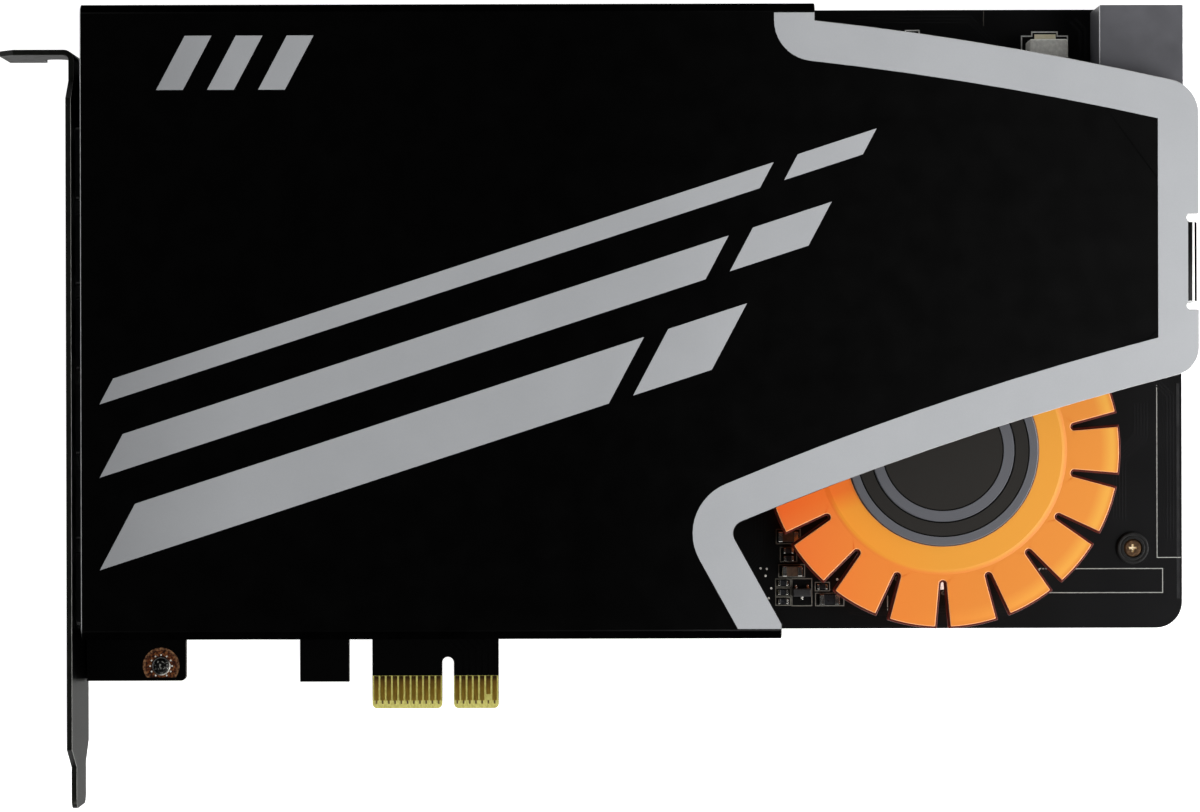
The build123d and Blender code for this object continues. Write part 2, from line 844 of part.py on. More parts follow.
def hub_ring(inner, outer):
    low = disc_top_z + hub_proud - ring_depth
    high = disc_top_z + hub_proud
    profile = [(inner, low), (outer, low), (outer, high - 0.15), (outer - 0.15, high), (inner, high)]
    return turned(profile, disc_x, disc_y)


def disc_collar():
    under = disc_bottom_z - collar_flange_thickness
    profile = [(collar_inner, face_z), (collar_outer, face_z), (collar_outer, under), (collar_flange, under),
               (collar_flange, disc_bottom_z), (collar_inner, disc_bottom_z)]
    collar = turned(profile, disc_x, disc_y)
    for x, y, _ in collar_screw_places():
        collar = collar - post(x, y, face_z, face_z + collar_pilot_depth, collar_pilot)
    return collar


def collar_screw(x, y):
    low = back_z - collar_head_height
    high = face_z + collar_shank_depth
    profile = [(0, low), (collar_head * 0.75, low), (collar_head, low + collar_head_height * 0.5),
               (collar_head, back_z), (collar_shank, back_z), (collar_shank, high), (0, high)]
    return turned(profile, x, y) - cross_recess(x, y, low, collar_head * 0.55, recess_depth)


def ring_light(x, y, angle):
    # A slim body with a shallow trough for the lens.
    body = Pos(0, 0, light_height / 2) * Box(light_length, light_width, light_height)
    trough = Rectangle(light_length - 2 * light_border, light_width - 2 * light_border)
    body = body - prism_z(trough, light_height - light_border, light_height)
    return Pos(x, y, face_z) * Rot(0, 0, angle) * body


def corner_screw():
    x, y = corner_screw_x, corner_screw_y
    top = face_z + corner_head_height
    low = back_z - corner_nut_height
    profile = [(0, low), (corner_shank, low), (corner_shank, face_z),
               (corner_head, face_z), (corner_head, top - 0.2), (corner_head - 0.3, top), (0, top)]
    return turned(profile, x, y) - cross_recess(x, y, top, corner_head * 0.45, -0.3, corner_recess)


def corner_washer():
    inner = corner_head + washer_play
    outer = inner + washer_width
    top = face_z + washer_height
    groove = inner + washer_width * 0.45
    profile = [(inner, face_z), (outer, face_z), (outer, top - 0.2), (outer - 0.2, top), (groove + 0.12, top),
               (groove, top - 0.12), (groove - 0.12, top), (inner, top)]
    return turned(profile, corner_screw_x, corner_screw_y)


def corner_nut_piece():
    x, y = corner_screw_x, corner_screw_y
    face = Pos(x, y) * (RegularPolygon(corner_nut, 6, major_radius=False) - Circle(corner_shank + 0.05))
    return prism_z(face, back_z - corner_nut_height, back_z)


# Chips and other parts on the board
def gull_lead(width, reach, drop, thickness=0.16):
    # From the body's side at the origin, out along X, down by the drop and out again as a foot.
    bend = reach * 0.35
    low = -drop
    profile = [(0, 0), (bend, 0), (bend + thickness, low + thickness), (reach, low + thickness), (reach, low),
               (bend + thickness * 0.4, low), (bend - thickness * 0.7, -thickness), (0, -thickness)]
    return prism_y(profile, -width / 2, width / 2)


def leaded_chip(length, width, height, pitch, long_side, short_side, lead_width, reach):
    # Leads stand along the two long sides, and along the short sides when their number is not zero.
    lift = 0.12
    body = Pos(0, 0, lift + height / 2) * Box(length, width, height)
    body = chamfer(body.faces().sort_by(Axis.Z)[-1].edges(), 0.12)
    dot_x, dot_y = -length / 2 + 0.9, -width / 2 + 0.9
    body = body - post(dot_x, dot_y, lift + height - 0.08, lift + height, 0.35)
    drop = lift + height * 0.55
    lead = gull_lead(lead_width, reach, drop)
    leads = []
    for index in range(long_side):
        x = (index - (long_side - 1) / 2) * pitch
        leads.append(Pos(x, width / 2, drop) * Rot(0, 0, 90) * lead)
        leads.append(Pos(x, -width / 2, drop) * Rot(0, 0, -90) * lead)
    for index in range(short_side):
        y = (index - (short_side - 1) / 2) * pitch
        leads.append(Pos(length / 2, y, drop) * lead)
        leads.append(Pos(-length / 2, y, drop) * Rot(0, 0, 180) * lead)
    return body.fuse(*leads)


def placed(piece, x, y, angle=0):
    return Pos(x, y, face_z) * Rot(0, 0, angle) * piece


def placed_behind(piece, x, y, angle=0):
    return Pos(x, y, back_z) * Rot(180, 0, angle) * piece


def flat_chip(side, height):
    body = Pos(0, 0, height / 2) * Box(side, side, height)
    body = chamfer(body.faces().sort_by(Axis.Z)[-1].edges(), 0.1)
    return body - post(-side / 2 + 1, -side / 2 + 1, height - 0.08, height, 0.35)


def can_capacitor(radius, height):
    # An aluminium can with a crimp groove and a rounded top.
    rim = radius * 0.12
    profile = [(0, 0), (radius * 0.9, 0), (radius, rim), (radius, height * 0.14),
               (radius * 0.93, height * 0.19), (radius, height * 0.24), (radius, height - rim * 1.5),
               (radius - rim, height), (radius * 0.8, height),
               (radius * 0.78, height - 0.15), (0, height - 0.15)]
    return revolve(Plane.XZ * Polygon(*profile), Axis.Z)


def mounted_capacitor(radius, height):
    # A can on a square base with two cut corners.
    side = radius * 2 + 0.3
    base = Pos(0, 0, coupling_base / 2) * Box(side, side, coupling_base)
    base = chamfer(base.edges().filter_by(Axis.Z).group_by(Axis.X)[-1], side * 0.18)
    return base + Pos(0, 0, coupling_base) * can_capacitor(radius, height - coupling_base)


def film_capacitor():
    body = Pos(0, 0, film_height / 2) * Box(film_length, film_width, film_height)
    return fillet(body.edges().filter_by(Axis.Z) + body.faces().sort_by(Axis.Z)[-1].edges(), 0.3)


def crystal():
    inset = crystal_rim * 2
    can = prism_z(SlotOverall(crystal_length - inset, crystal_width - inset), crystal_rim, crystal_height)
    can = fillet(can.faces().sort_by(Axis.Z)[-1].edges(), 0.5)
    return can + prism_z(SlotOverall(crystal_length, crystal_width), 0, crystal_rim)


def power_inductor():
    body = Pos(0, 0, inductor_height / 2) * Box(inductor_side, inductor_side, inductor_height)
    body = fillet(body.edges().filter_by(Axis.Z), inductor_corner)
    body = chamfer(body.faces().sort_by(Axis.Z)[-1].edges(), 0.2)
    span = inductor_side + 2 * terminal_reach
    return body + Pos(0, 0, 0.15) * Box(inductor_terminal, span, 0.3)


def regulator():
    body = Pos(0, 0, regulator_height / 2) * Box(regulator_width, regulator_depth, regulator_height)
    body = chamfer(body.faces().sort_by(Axis.Z)[-1].edges(), 0.3)
    edge = regulator_depth / 2
    body = body + block(-regulator_width * 0.41, regulator_width * 0.41, 0, edge + 1.2, 0, 0.6)
    for x in (-regulator_pitch, regulator_pitch):
        body = body + block(x - 0.4, x + 0.4, -edge - 2.0, 0, 0, 0.4)
    return body


def transistor():
    # Two leads on the upper side and one in the middle of the lower side.
    lift = 0.1
    body = Box(transistor_length, transistor_width, transistor_height)
    body = Pos(0, 0, lift + transistor_height / 2) * body
    body = chamfer(body.faces().sort_by(Axis.Z)[-1].edges(), 0.12)
    drop = lift + transistor_height * 0.5
    half = transistor_width / 2
    lead = gull_lead(wide_lead, transistor_reach, drop)
    leads = [Pos(side * transistor_pitch, half, drop) * Rot(0, 0, 90) * lead for side in (1, -1)]
    leads.append(Pos(0, -half, drop) * Rot(0, 0, -90) * lead)
    return body.fuse(*leads)


def small_part(length, width, height):
    # A ceramic block with two plated ends that stand slightly proud.
    end = length * 0.22
    proud = 0.03
    body = Pos(0, 0, height / 2) * Box(length - end, width - 2 * proud, height - 2 * proud)
    for side in (1, -1):
        body = body + Pos(side * (length - end) / 2, 0, height / 2) * Box(end, width, height)
    return body


def grid(x, y, columns, rows, step_x, step_y):
    return [(x + column * step_x, y + row * step_y) for row in range(rows) for column in range(columns)]


memory_chip = leaded_chip(memory_length, memory_width, memory_height, wide_pitch,
                          memory_leads, 0, wide_lead, wide_reach)
relay_body = leaded_chip(relay_length, relay_width, relay_height, relay_pitch,
                         relay_leads, 0, relay_lead, relay_reach)
processor = leaded_chip(processor_side, processor_side, thin_chip_height, fine_pitch,
                        processor_leads, processor_leads, fine_lead, fine_reach)
converter = leaded_chip(converter_side, converter_side, thin_chip_height, fine_pitch,
                        converter_leads, converter_leads, fine_lead, fine_reach)
amplifier = leaded_chip(amplifier_length, amplifier_width, amplifier_height, wide_pitch,
                        amplifier_leads, 0, wide_lead, wide_reach)
filter_can = can_capacitor(filter_radius, filter_height)
coupling_can = mounted_capacitor(coupling_radius, coupling_height)
resistor = small_part(small_length, small_width, resistor_height)
ceramic = small_part(small_length, small_width, ceramic_height)
large_resistor = small_part(large_length, large_width, large_resistor_height)
large_ceramic = small_part(large_length, large_width, large_ceramic_height)

# Where the parts stand on the board
op_amp_places = grid(-3.0, 34.0, 1, 4, 1.0, 16.0)
relay_places = grid(-35.5, 34.0, 1, 3, 1.0, 19.0)
filter_places = [(50.0, 92.0), (60.0, 93.0), (50.0, 80.0), (61.0, 80.5),
                 (25.0, 97.0), (11.0, 98.5), (-4.0, 98.5)]
coupling_places = grid(-24.0, 26.0, 2, 8, 9.6, 9.2)
film_places = grid(8.0, 33.0, 1, 7, 1.0, 8.2)
inductor_places = [(board_right - 21.83, board_top - 8.3), (83.5, 94.0), (74.0, 90.5)]
regulator_places = [(84.0, 81.5), (94.0, 85.5)]
crystal_places = [(36.0, 78.0), (22.0, 33.0)]
transistor_places = [(56.9, 18.55), (29.0, 38.0), (40.5, 88.0)]
large_resistor_places = [(61.37, 17.4), (40.0, 47.0), (40.0, 44.6)]
resistor_places = (grid(53.9, 17.1, 1, 3, 1.0, 1.48) + [(60.2, 19.45), (60.9, 22.6)]
                   + grid(54.8, 24.0, 1, 2, 1.0, 1.25) + grid(26.0, 44.0, 4, 4, 2.6, 1.8)
                   + grid(-9.5, 30.5, 1, 12, 1.0, 5.0) + grid(28.5, 84.0, 5, 2, 2.6, 1.8))
ceramic_places = (grid(16.0, 44.0, 3, 2, 2.6, 1.8) + grid(31.0, 52.0, 5, 1, 2.4, 1.8)
                  + grid(15.0, 62.0, 4, 2, 2.6, 1.8) + grid(-6.0, 15.6, 4, 1, 3.0, 1.8))
large_ceramic_places = ([(55.35, 21.97), (54.72, 27.5)] + grid(66.5, 100.0, 2, 1, 4.6, 3.0)
                        + grid(93.0, 93.5, 2, 1, 4.6, 3.0) + grid(24.0, 24.0, 2, 1, 4.6, 3.0))
rear_places = (grid(26.0, 55.0, 6, 6, 3.6, 3.2) + grid(-8.0, 36.0, 3, 8, 4.0, 6.0)
               + grid(56.0, 84.0, 8, 3, 4.0, 3.0))


# Every node and its shape
nodes = {
    "circuit_board": circuit_board(),
    "edge_contacts_front": edge_contacts(face_z, face_z + contact_thickness, contacts_before_key + 5),
    "edge_contacts_back": edge_contacts(back_z - contact_thickness, back_z, 0),
    "ground_pad": ground_pad(),
    "bracket": bracket(),
    "bracket_screws": group([bracket_screw(y) for y in (lower_screw_y, upper_screw_y)]),
    "insert_nuts": group([insert_nut(y) for y in (lower_screw_y, upper_screw_y)]),
    "shield_cover": shield_cover(),
    "cover_print": cover_print(),
    "cover_standoffs": group([cover_standoff(x, y) for x, y in standoff_places]),
    "cover_screws": group([cover_screw(x, y) for x, y in standoff_places]),
    "light_disc": light_disc(),
    "hub_cap": hub_cap(),
    "hub_ring_outer": hub_ring(outer_ring_inner + ring_gap, hub_radius),
    "hub_ring_inner": hub_ring(inner_ring_inner + ring_gap, inner_ring_outer - ring_gap),
    "disc_collar": disc_collar(),
    "collar_screws": group([collar_screw(x, y) for x, y, _ in collar_screw_places()]),
    "ring_lights": group([ring_light(x, y, angle) for x, y, angle in ring_light_places()]),
    "corner_screw": corner_screw(),
    "corner_washer": corner_washer(),
    "corner_nut": corner_nut_piece(),
    "power_connector": power_housing(),
    "power_pins": power_pins(),
    "panel_header": header_base(),
    "header_pins": header_pins(),
    "jack_rings": group([jack_ring(y) for y in jack_rows()]),
    "audio_processor": placed(processor, 36.0, 63.0),
    "converter_chip": placed(converter, 19.0, 75.0),
    "amplifier_chip": placed(amplifier, 20.0, 53.5),
    "bridge_chip": placed(flat_chip(bridge_side, bridge_height), 1.0, 22.5),
    "memory_chip": placed(memory_chip, 15.0, 22.0, 90),
    "op_amps": group([placed(memory_chip, x, y) for x, y in op_amp_places]),
    "crystals": group([placed(crystal(), x, y) for x, y in crystal_places]),
    "filter_capacitors": group([placed(filter_can, x, y) for x, y in filter_places]),
    "coupling_capacitors": group([placed(coupling_can, x, y) for x, y in coupling_places]),
    "film_capacitors": group([placed(film_capacitor(), x, y) for x, y in film_places]),
    "power_inductors": group([placed(power_inductor(), x, y) for x, y in inductor_places]),
    "regulators": group([placed(regulator(), x, y) for x, y in regulator_places]),
    "transistors": group([placed(transistor(), x, y) for x, y in transistor_places]),
    "resistors": group([placed(resistor, x, y) for x, y in resistor_places]
                       + [placed(large_resistor, x, y) for x, y in large_resistor_places]),
    "ceramic_capacitors": group([placed(ceramic, x, y) for x, y in ceramic_places]
                                + [placed(large_ceramic, x, y) for x, y in large_ceramic_places]),
    "rear_capacitors": group([placed_behind(ceramic, x, y) for x, y in rear_places]),
}
for index, row in enumerate(jack_rows(), start=1):
    nodes[f"audio_jack_{index}"] = jack_housing(row)
    nodes[f"jack_contacts_{index}"] = jack_contacts(row)
for index, (x, y) in enumerate(relay_places, start=1):
    nodes[f"relay_{index}"] = placed(relay_body, x, y, 90)

os.makedirs("parts", exist_ok=True)
for name, shape in nodes.items():
    export_step(shape, f"parts/{name}.step")
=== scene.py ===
import math
import random

import bmesh
import bpy
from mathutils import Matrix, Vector


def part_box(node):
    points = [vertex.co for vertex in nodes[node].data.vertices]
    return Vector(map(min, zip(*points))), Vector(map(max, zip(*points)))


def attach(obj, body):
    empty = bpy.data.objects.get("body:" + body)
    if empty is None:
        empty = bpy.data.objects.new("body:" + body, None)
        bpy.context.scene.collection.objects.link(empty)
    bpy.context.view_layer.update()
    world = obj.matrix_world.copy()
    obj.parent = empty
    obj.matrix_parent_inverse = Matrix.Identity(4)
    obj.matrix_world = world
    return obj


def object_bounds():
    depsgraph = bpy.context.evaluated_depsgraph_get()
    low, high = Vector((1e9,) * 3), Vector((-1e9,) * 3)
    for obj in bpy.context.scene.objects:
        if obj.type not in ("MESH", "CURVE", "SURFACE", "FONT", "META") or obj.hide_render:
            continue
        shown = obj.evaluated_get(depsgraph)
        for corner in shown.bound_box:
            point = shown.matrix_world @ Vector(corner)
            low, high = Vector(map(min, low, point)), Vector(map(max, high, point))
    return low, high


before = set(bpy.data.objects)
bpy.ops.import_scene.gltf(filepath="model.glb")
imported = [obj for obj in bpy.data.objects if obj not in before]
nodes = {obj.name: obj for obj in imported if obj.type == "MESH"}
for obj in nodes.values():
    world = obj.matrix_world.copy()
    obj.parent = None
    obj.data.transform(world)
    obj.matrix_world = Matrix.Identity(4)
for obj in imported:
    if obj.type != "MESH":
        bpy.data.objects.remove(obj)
cad_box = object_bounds()

# Lengths below are in millimetres, in the frame of the solids.
MM = 0.001


def corner(node, which):
    # A node's lowest corner for 0, its highest for 1.
    return [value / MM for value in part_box(node)[which]]


board_low = corner("circuit_board", 0)
board_high = corner("circuit_board", 1)
face_z = board_high[2]
back_z = board_low[2]
cover_low = corner("shield_cover", 0)
cover_high = corner("shield_cover", 1)
disc_low = corner("light_disc", 0)
disc_high = corner("light_disc", 1)
hub_low = corner("hub_cap", 0)
hub_high = corner("hub_cap", 1)

# Disc with its rim, the lip below and the step round the hub, which gives the middle in Y
disc_x = (disc_low[0] + disc_high[0]) / 2
disc_y = (hub_low[1] + hub_high[1]) / 2
disc_radius = (disc_high[0] - disc_low[0]) / 2
disc_lip = 0.36
disc_lip_thickness = 1.5
disc_lip_z = disc_low[2] + disc_lip_thickness
disc_rim = disc_radius - disc_lip
disc_step_radius = 19.35
step_blur = 0.2
# Painted highlight: a bright band inside the disc's rim on its right side, by distances from the rim
rim_highlight_begins = 2.9
rim_highlight_full = 1.2
rim_highlight_falls = 0.8
rim_highlight_ends = 0.2
# Heights above the lip where the painted highlight line on the disc's upper edges begins and is full
edge_highlight_from = 0.15
edge_highlight_full = 0.3
# Share of a written colour on the lit disc, and how strongly the disc, its edges and the lights glow; on the
# disc and its edges the glow is partly painted light that evens out their shading
disc_share = 0.66
disc_glow = 0.45
edge_glow = 0.06
light_glow = 0.55

# The cover's free edge: a point on it, its slope in degrees, and the distances from it where the painted red
# shadow that the cover casts on the disc begins and is full
cover_corner = (44.6, 29.5)
cover_edge_slope = 18.4
shadow_begins = 3.8
shadow_full = 0.6
# Heights above the cover's lower side where its rims turn from dark to the painted highlight
rim_dark = 1.0
rim_bright = 1.8
# Painted light on the print: place along the cover's length and share of the print's full brightness there
print_painted_light = ((0.0, 0.56), (0.07, 0.67), (0.14, 0.8), (0.47, 0.84), (0.57, 0.91), (0.68, 0.955), (1.0, 1.0))

# Bracket: its inner face, half the span of the painted highlight line on its edge, and the slanting limit of
# the painted shade on its inner face
bracket_inner = -58.35
highlight_half = 0.6
shade_slope = 0.08
shade_from = 4.7
shade_to = 5.0

# Land at the lower bracket screw, its paler rim and the sleeve in it
screw_x = -46.1
lower_screw_y = 6.95
pad_radius = 2.95
pad_rim_from = 0.55
pad_rim_full = 0.25
insert_radius = 1.5

# Heights between which the contacts' gold darkens
gold_from = 0.8
contact_end = 5.25

# Painted shade and light on the front's ink: dim at the first place and bright at the second, along X and
# along Y
ink_across = (50.0, 85.0)
ink_upward = (85.0, 95.0)


# Colours
def tone(red, green, blue):
    # Screen values from 0 to 255 as linear light.
    shares = [value / 255 for value in (red, green, blue)]
    linear = [share / 12.92 if share <= 0.04045 else ((share + 0.055) / 1.055) ** 2.4 for share in shares]
    return (*linear, 1.0)


def grey(value):
    return tone(value, value, value)


def even(share):
    # The same share of red, green and blue light.
    return (share, share, share, 1.0)


def scaled(colour, share):
    return (colour[0] * share, colour[1] * share, colour[2] * share, 1.0)


# Materials
# Numbers of a mix node's colour sockets
colours_in = (6, 7)
colour_out = 2
# Size of a skin's fine grain as a share of its broad one
fine_share = 0.12


class Graph:
    # A tree of shader nodes, fed by one kind of coordinates.
    def __init__(self, tree, coordinates):
        self.tree = tree
        self.coordinates = self.add("ShaderNodeTexCoord").outputs[coordinates]

    def add(self, kind):
        return self.tree.nodes.new(kind)

    def join(self, source, target):
        self.tree.links.new(source, target)

    def axis(self, name):
        split = self.add("ShaderNodeSeparateXYZ")
        self.join(self.coordinates, split.inputs["Vector"])
        return split.outputs[name]

    def maths(self, operation, first, second):
        node = self.add("ShaderNodeMath")
        node.operation = operation
        self.join(first, node.inputs[0])
        self.join(second, node.inputs[1])
        return node.outputs["Value"]

    def span(self, source, start, end, low=0.0, high=1.0):
        # Goes from low to high as the source goes from start to end.
        node = self.add("ShaderNodeMapRange")
        for name, value in (("From Min", start), ("From Max", end), ("To Min", low), ("To Max", high)):
            node.inputs[name].default_value = value
        self.join(source, node.inputs["Value"])
        return node.outputs["Result"]


class Look(Graph):
    # One procedural material at the object's own coordinates.
    def __init__(self, name, rough, metal, specular, tint=1.0):
        self.material = bpy.data.materials.new(name)
        self.material.use_nodes = True
        super().__init__(self.material.node_tree, "Object")
        self.shader = self.tree.nodes["Principled BSDF"]
        self.shader.inputs["Roughness"].default_value = rough
        self.shader.inputs["Metallic"].default_value = metal
        self.shader.inputs["Specular IOR Level"].default_value = specular
        self.shader.inputs["Specular Tint"].default_value = even(tint)

    def vector_maths(self, operation, source, operand):
        node = self.add("ShaderNodeVectorMath")
        node.operation = operation
        node.inputs[1].default_value = operand
        self.join(source, node.inputs[0])
        return node.outputs

    def along(self, direction):
        # Distance along a direction, in metres.
        return self.vector_maths("DOT_PRODUCT", self.coordinates, direction)["Value"]

    def radius(self, x=disc_x, y=disc_y):
        # Distance from an upright axis, in metres; the disc's own where none is given.
        flat = self.vector_maths("MULTIPLY", self.coordinates, (1, 1, 0))["Vector"]
        return self.vector_maths("DISTANCE", flat, (x * MM, y * MM, 0))["Value"]

    def noise(self, size, detail=4.0, stretch=(1, 1, 1), vector=None):
        # Noise whose grains are about the given size in millimetres.
        texture = self.add("ShaderNodeTexNoise")
        texture.inputs["Scale"].default_value = 1 / (size * MM)
        texture.inputs["Detail"].default_value = detail
        vector = vector or self.vector_maths("MULTIPLY", self.coordinates, stretch)["Vector"]
        self.join(vector, texture.inputs["Vector"])
        return texture.outputs["Fac"]

    def fine(self, size, stretch=(1, 1, 1)):
        # Plainer noise, enough for a skin's grain.
        return self.noise(size, 2.0, stretch)

    def between(self, distance, start, end):
        # Share of the way from start to end, both in millimetres.
        return self.span(distance, start * MM, end * MM)

    def along_cover(self):
        return self.between(self.axis("X"), cover_low[0], cover_high[0])

    def ramp(self, source, stops):
        node = self.add("ShaderNodeValToRGB")
        elements = node.color_ramp.elements
        while len(elements) < len(stops):
            elements.new(0.5)
        for element, (position, colour) in zip(elements, stops):
            element.position = position
            element.color = colour
        self.join(source, node.inputs["Fac"])
        return node.outputs["Color"]

    def mottled(self, noise, dark, light):
        return self.ramp(noise, [(0.3, dark), (0.7, light)])

    def mix(self, kind, first, second):
        node = self.add("ShaderNodeMix")
        node.data_type = "RGBA"
        node.blend_type = kind
        for colour, socket in zip((first, second), colours_in):
            self.join(colour, node.inputs[socket])
        return node

    def blend(self, share, first, second):
        node = self.mix("MIX", first, second)
        self.join(share, node.inputs["Factor"])
        return node.outputs[colour_out]

    def multiplied(self, first, second):
        node = self.mix("MULTIPLY", first, second)
        node.inputs["Factor"].default_value = 1.0
        return node.outputs[colour_out]

    def worn(self, colour, size, low, spread=0.2, stretch=(1, 1, 1)):
        # The colour, darkened here and there down to the given share.
        shares = [(0.5 - spread, even(low)), (0.5 + spread, even(1.0))]
        return self.multiplied(colour, self.ramp(self.noise(size, stretch=stretch), shares))

    def colour(self, source):
        self.join(source, self.shader.inputs["Base Color"])

    def glow(self, source, strength):
        # The same colour given off as faint light.
        self.join(source, self.shader.inputs["Emission Color"])
        self.shader.inputs["Emission Strength"].default_value = strength

    def roughness(self, source):
        self.join(source, self.shader.inputs["Roughness"])

    def bump(self, source, depth, strength=0.5):
        node = self.add("ShaderNodeBump")
        node.inputs["Strength"].default_value = strength
        node.inputs["Distance"].default_value = depth * MM
        self.join(source, node.inputs["Height"])
        self.join(node.outputs["Normal"], self.shader.inputs["Normal"])

    def finished(self, colour, grain, depth, strength=0.5):
        # The material, with its colour and the bump of its grain.
        self.colour(colour)
        self.bump(grain, depth, strength)
        return self.material


def grained(name, dark, light, size, rough, swing=0.05, depth=0.01, metal=0.0, specular=0.5, tint=1.0):
    # Colour, between two given as 0 to 255, and gloss wander with one noise; the skin has a fine grain.
    look = Look(name, rough, metal, specular, tint)
    broad = look.noise(size)
    look.roughness(look.span(broad, 0.25, 0.75, rough - swing, rough + swing))
    return look.finished(look.mottled(broad, tone(*dark), tone(*light)), look.fine(size * fine_share), depth)


def disc_look():
    # Lit acrylic: redder at the left, where its colour is raised as painted light against the cover's shade,
    # and more yellow at the right and round the hub, with a painted red shadow beside the cover and a painted
    # highlight inside the rim on the right; its glow is partly painted light.
    def lit(red, green, blue, share=1.0):
        return scaled(tone(red, green, blue), disc_share * share)

    look = Look("disc_orange", 0.38, 0.0, 0.3)
    across = look.between(look.axis("X"), disc_x - disc_radius, disc_x + disc_radius)
    outer = look.ramp(across, [(0.05, lit(228, 110, 46, 1.2)), (0.3, lit(234, 131, 52, 1.08)),
                               (0.6, lit(237, 142, 56)), (1.0, lit(239, 150, 60))])
    inner = look.ramp(across, [(0.1, lit(236, 143, 43, 1.16)), (0.5, lit(238, 160, 58)),
                               (1.0, lit(240, 164, 62))])
    band = look.ramp(across, [(0.0, lit(238, 118, 48, 1.15)), (1.0, lit(246, 178, 74))])
    red = look.ramp(across, [(0.0, lit(236, 97, 34, 1.15)), (0.25, lit(238, 118, 40, 1.08)),
                             (1.0, lit(238, 120, 42))])
    # Painted highlight: the bright band inside the rim, on the right part of the disc
    reach = look.radius()
    rising = look.between(reach, disc_rim - rim_highlight_begins, disc_rim - rim_highlight_full)
    falling = look.between(reach, disc_rim - rim_highlight_ends, disc_rim - rim_highlight_falls)
    rim = look.maths("MULTIPLY", rising, falling)
    rim = look.maths("MULTIPLY", rim, look.span(across, 0.4, 0.75))
    within = look.between(reach, disc_step_radius - step_blur, disc_step_radius + step_blur)
    # Painted shadow: redder beside the cover's free edge, on the left part of the disc
    turn = math.radians(cover_edge_slope)
    beside = look.along((-math.sin(turn), math.cos(turn), 0))
    line = cover_corner[1] * math.cos(turn) - cover_corner[0] * math.sin(turn)
    near = look.between(beside, line - shadow_begins, line - shadow_full)
    shade = look.maths("MULTIPLY", near, look.span(across, 0.6, 0.35))
    surface = look.blend(within, inner, look.blend(rim, outer, band))
    colour = look.blend(shade, surface, red)
    look.glow(colour, disc_glow)
    return look.finished(colour, look.fine(0.5), 0.01, 0.2)


def disc_edge_look():
    # A painted highlight line on the upper edges, and painted shade in dark red on the lip below.
    look = Look("disc_edge", 0.4, 0.0, 0.3)
    upper = look.between(look.axis("Z"), disc_lip_z + edge_highlight_from, disc_lip_z + edge_highlight_full)
    pale = look.mottled(look.noise(1.2), tone(240, 158, 100), tone(246, 172, 116))
    dark = look.mottled(look.noise(0.8), tone(66, 15, 4), tone(90, 25, 8))
    colour = look.blend(upper, dark, pale)
    look.glow(colour, edge_glow)
    look.colour(colour)
    return look.material


def mask_look(name, share, rough):
    # Black solder mask, paler towards the far end of the board as painted light.
    look = Look(name, rough, 0.0, 0.16)
    length = look.between(look.axis("X"), board_low[0], board_high[0])
    base = look.ramp(length, [(0.4, scaled(grey(1), share)), (0.62, scaled(grey(11), share)),
                              (1.0, scaled(tone(19, 19, 20), share))])
    return look.finished(look.worn(base, 7.0, 0.75), look.fine(0.8), 0.006)


def silk_look():
    # Thin white ink with painted shade and light: dimmer towards the left, where the board lies in the
    # cover's shade, and brighter towards the upper edge.
    look = Look("silk_print", 0.6, 0.0, 0.3)
    length = look.between(look.axis("X"), *ink_across)
    front = look.ramp(length, [(0.0, tone(96, 92, 82)), (1.0, tone(172, 172, 167))])
    rear = look.mottled(look.noise(2.0), tone(222, 222, 218), tone(234, 234, 230))
    base = look.blend(look.between(look.axis("Y"), *ink_upward), front, rear)
    return look.finished(look.worn(base, 0.6, 0.7), look.fine(0.1), 0.006)


def hub_ring_look(name, dark, light, rough):
    # Satin metal with fine concentric lines.
    look = Look(name, rough, 0.35, 0.4)
    outward = look.add("ShaderNodeCombineXYZ")
    look.join(look.radius(), outward.inputs["X"])
    lines = look.noise(0.06, 2.0, vector=outward.outputs["Vector"])
    look.roughness(look.span(lines, 0.3, 0.7, rough - 0.06, rough + 0.06))
    return look.finished(look.mottled(lines, dark, light), lines, 0.006)


def contact_look():
    # Gold plating that darkens towards the mask's edge.
    look = Look("gold_contact", 0.34, 0.75, 0.5)
    height = look.between(look.axis("Y"), gold_from, contact_end)
    colour = look.ramp(height, [(0.0, tone(197, 163, 68)), (0.45, tone(184, 147, 54)),
                                (0.8, tone(150, 113, 46)), (0.93, tone(83, 60, 27))])
    rubbed = look.worn(colour, 0.35, 0.7, 0.15, (1, 0.25, 1))
    return look.finished(rubbed, look.fine(0.15, (1, 0.2, 1)), 0.01, 0.3)


def pad_look():
    # Bare copper land with a stained, grainy skin and a paler rim.
    look = Look("copper_pad", 0.45, 0.45, 0.4)
    stain = look.noise(0.36, 5.0)
    inner = look.ramp(stain, [(0.4, tone(34, 10, 3)), (0.5, tone(88, 39, 16)), (0.62, tone(142, 88, 46))])
    outer = look.ramp(stain, [(0.38, tone(70, 38, 22)), (0.62, tone(164, 120, 84))])
    reach = look.radius(screw_x, lower_screw_y)
    rim = look.between(reach, pad_radius - pad_rim_from, pad_radius - pad_rim_full)
    return look.finished(look.blend(rim, inner, outer), stain, 0.04, 0.6)


def insert_look():
    # The rim of a tinned sleeve, dull but for a painted highlight: a bright crescent at the lower right.
    look = Look("insert_rim", 0.3, 0.3, 0.4)
    highlight_x = 0.8
    highlight_y = -0.6
    middle = highlight_x * screw_x + highlight_y * lower_screw_y
    side = look.between(look.along((highlight_x, highlight_y, 0)), middle, middle + insert_radius)
    colour = look.ramp(side, [(0.3, tone(40, 39, 37)), (0.7, tone(228, 224, 214))])
    return look.finished(look.worn(colour, 0.4, 0.75), look.fine(0.15), 0.006)


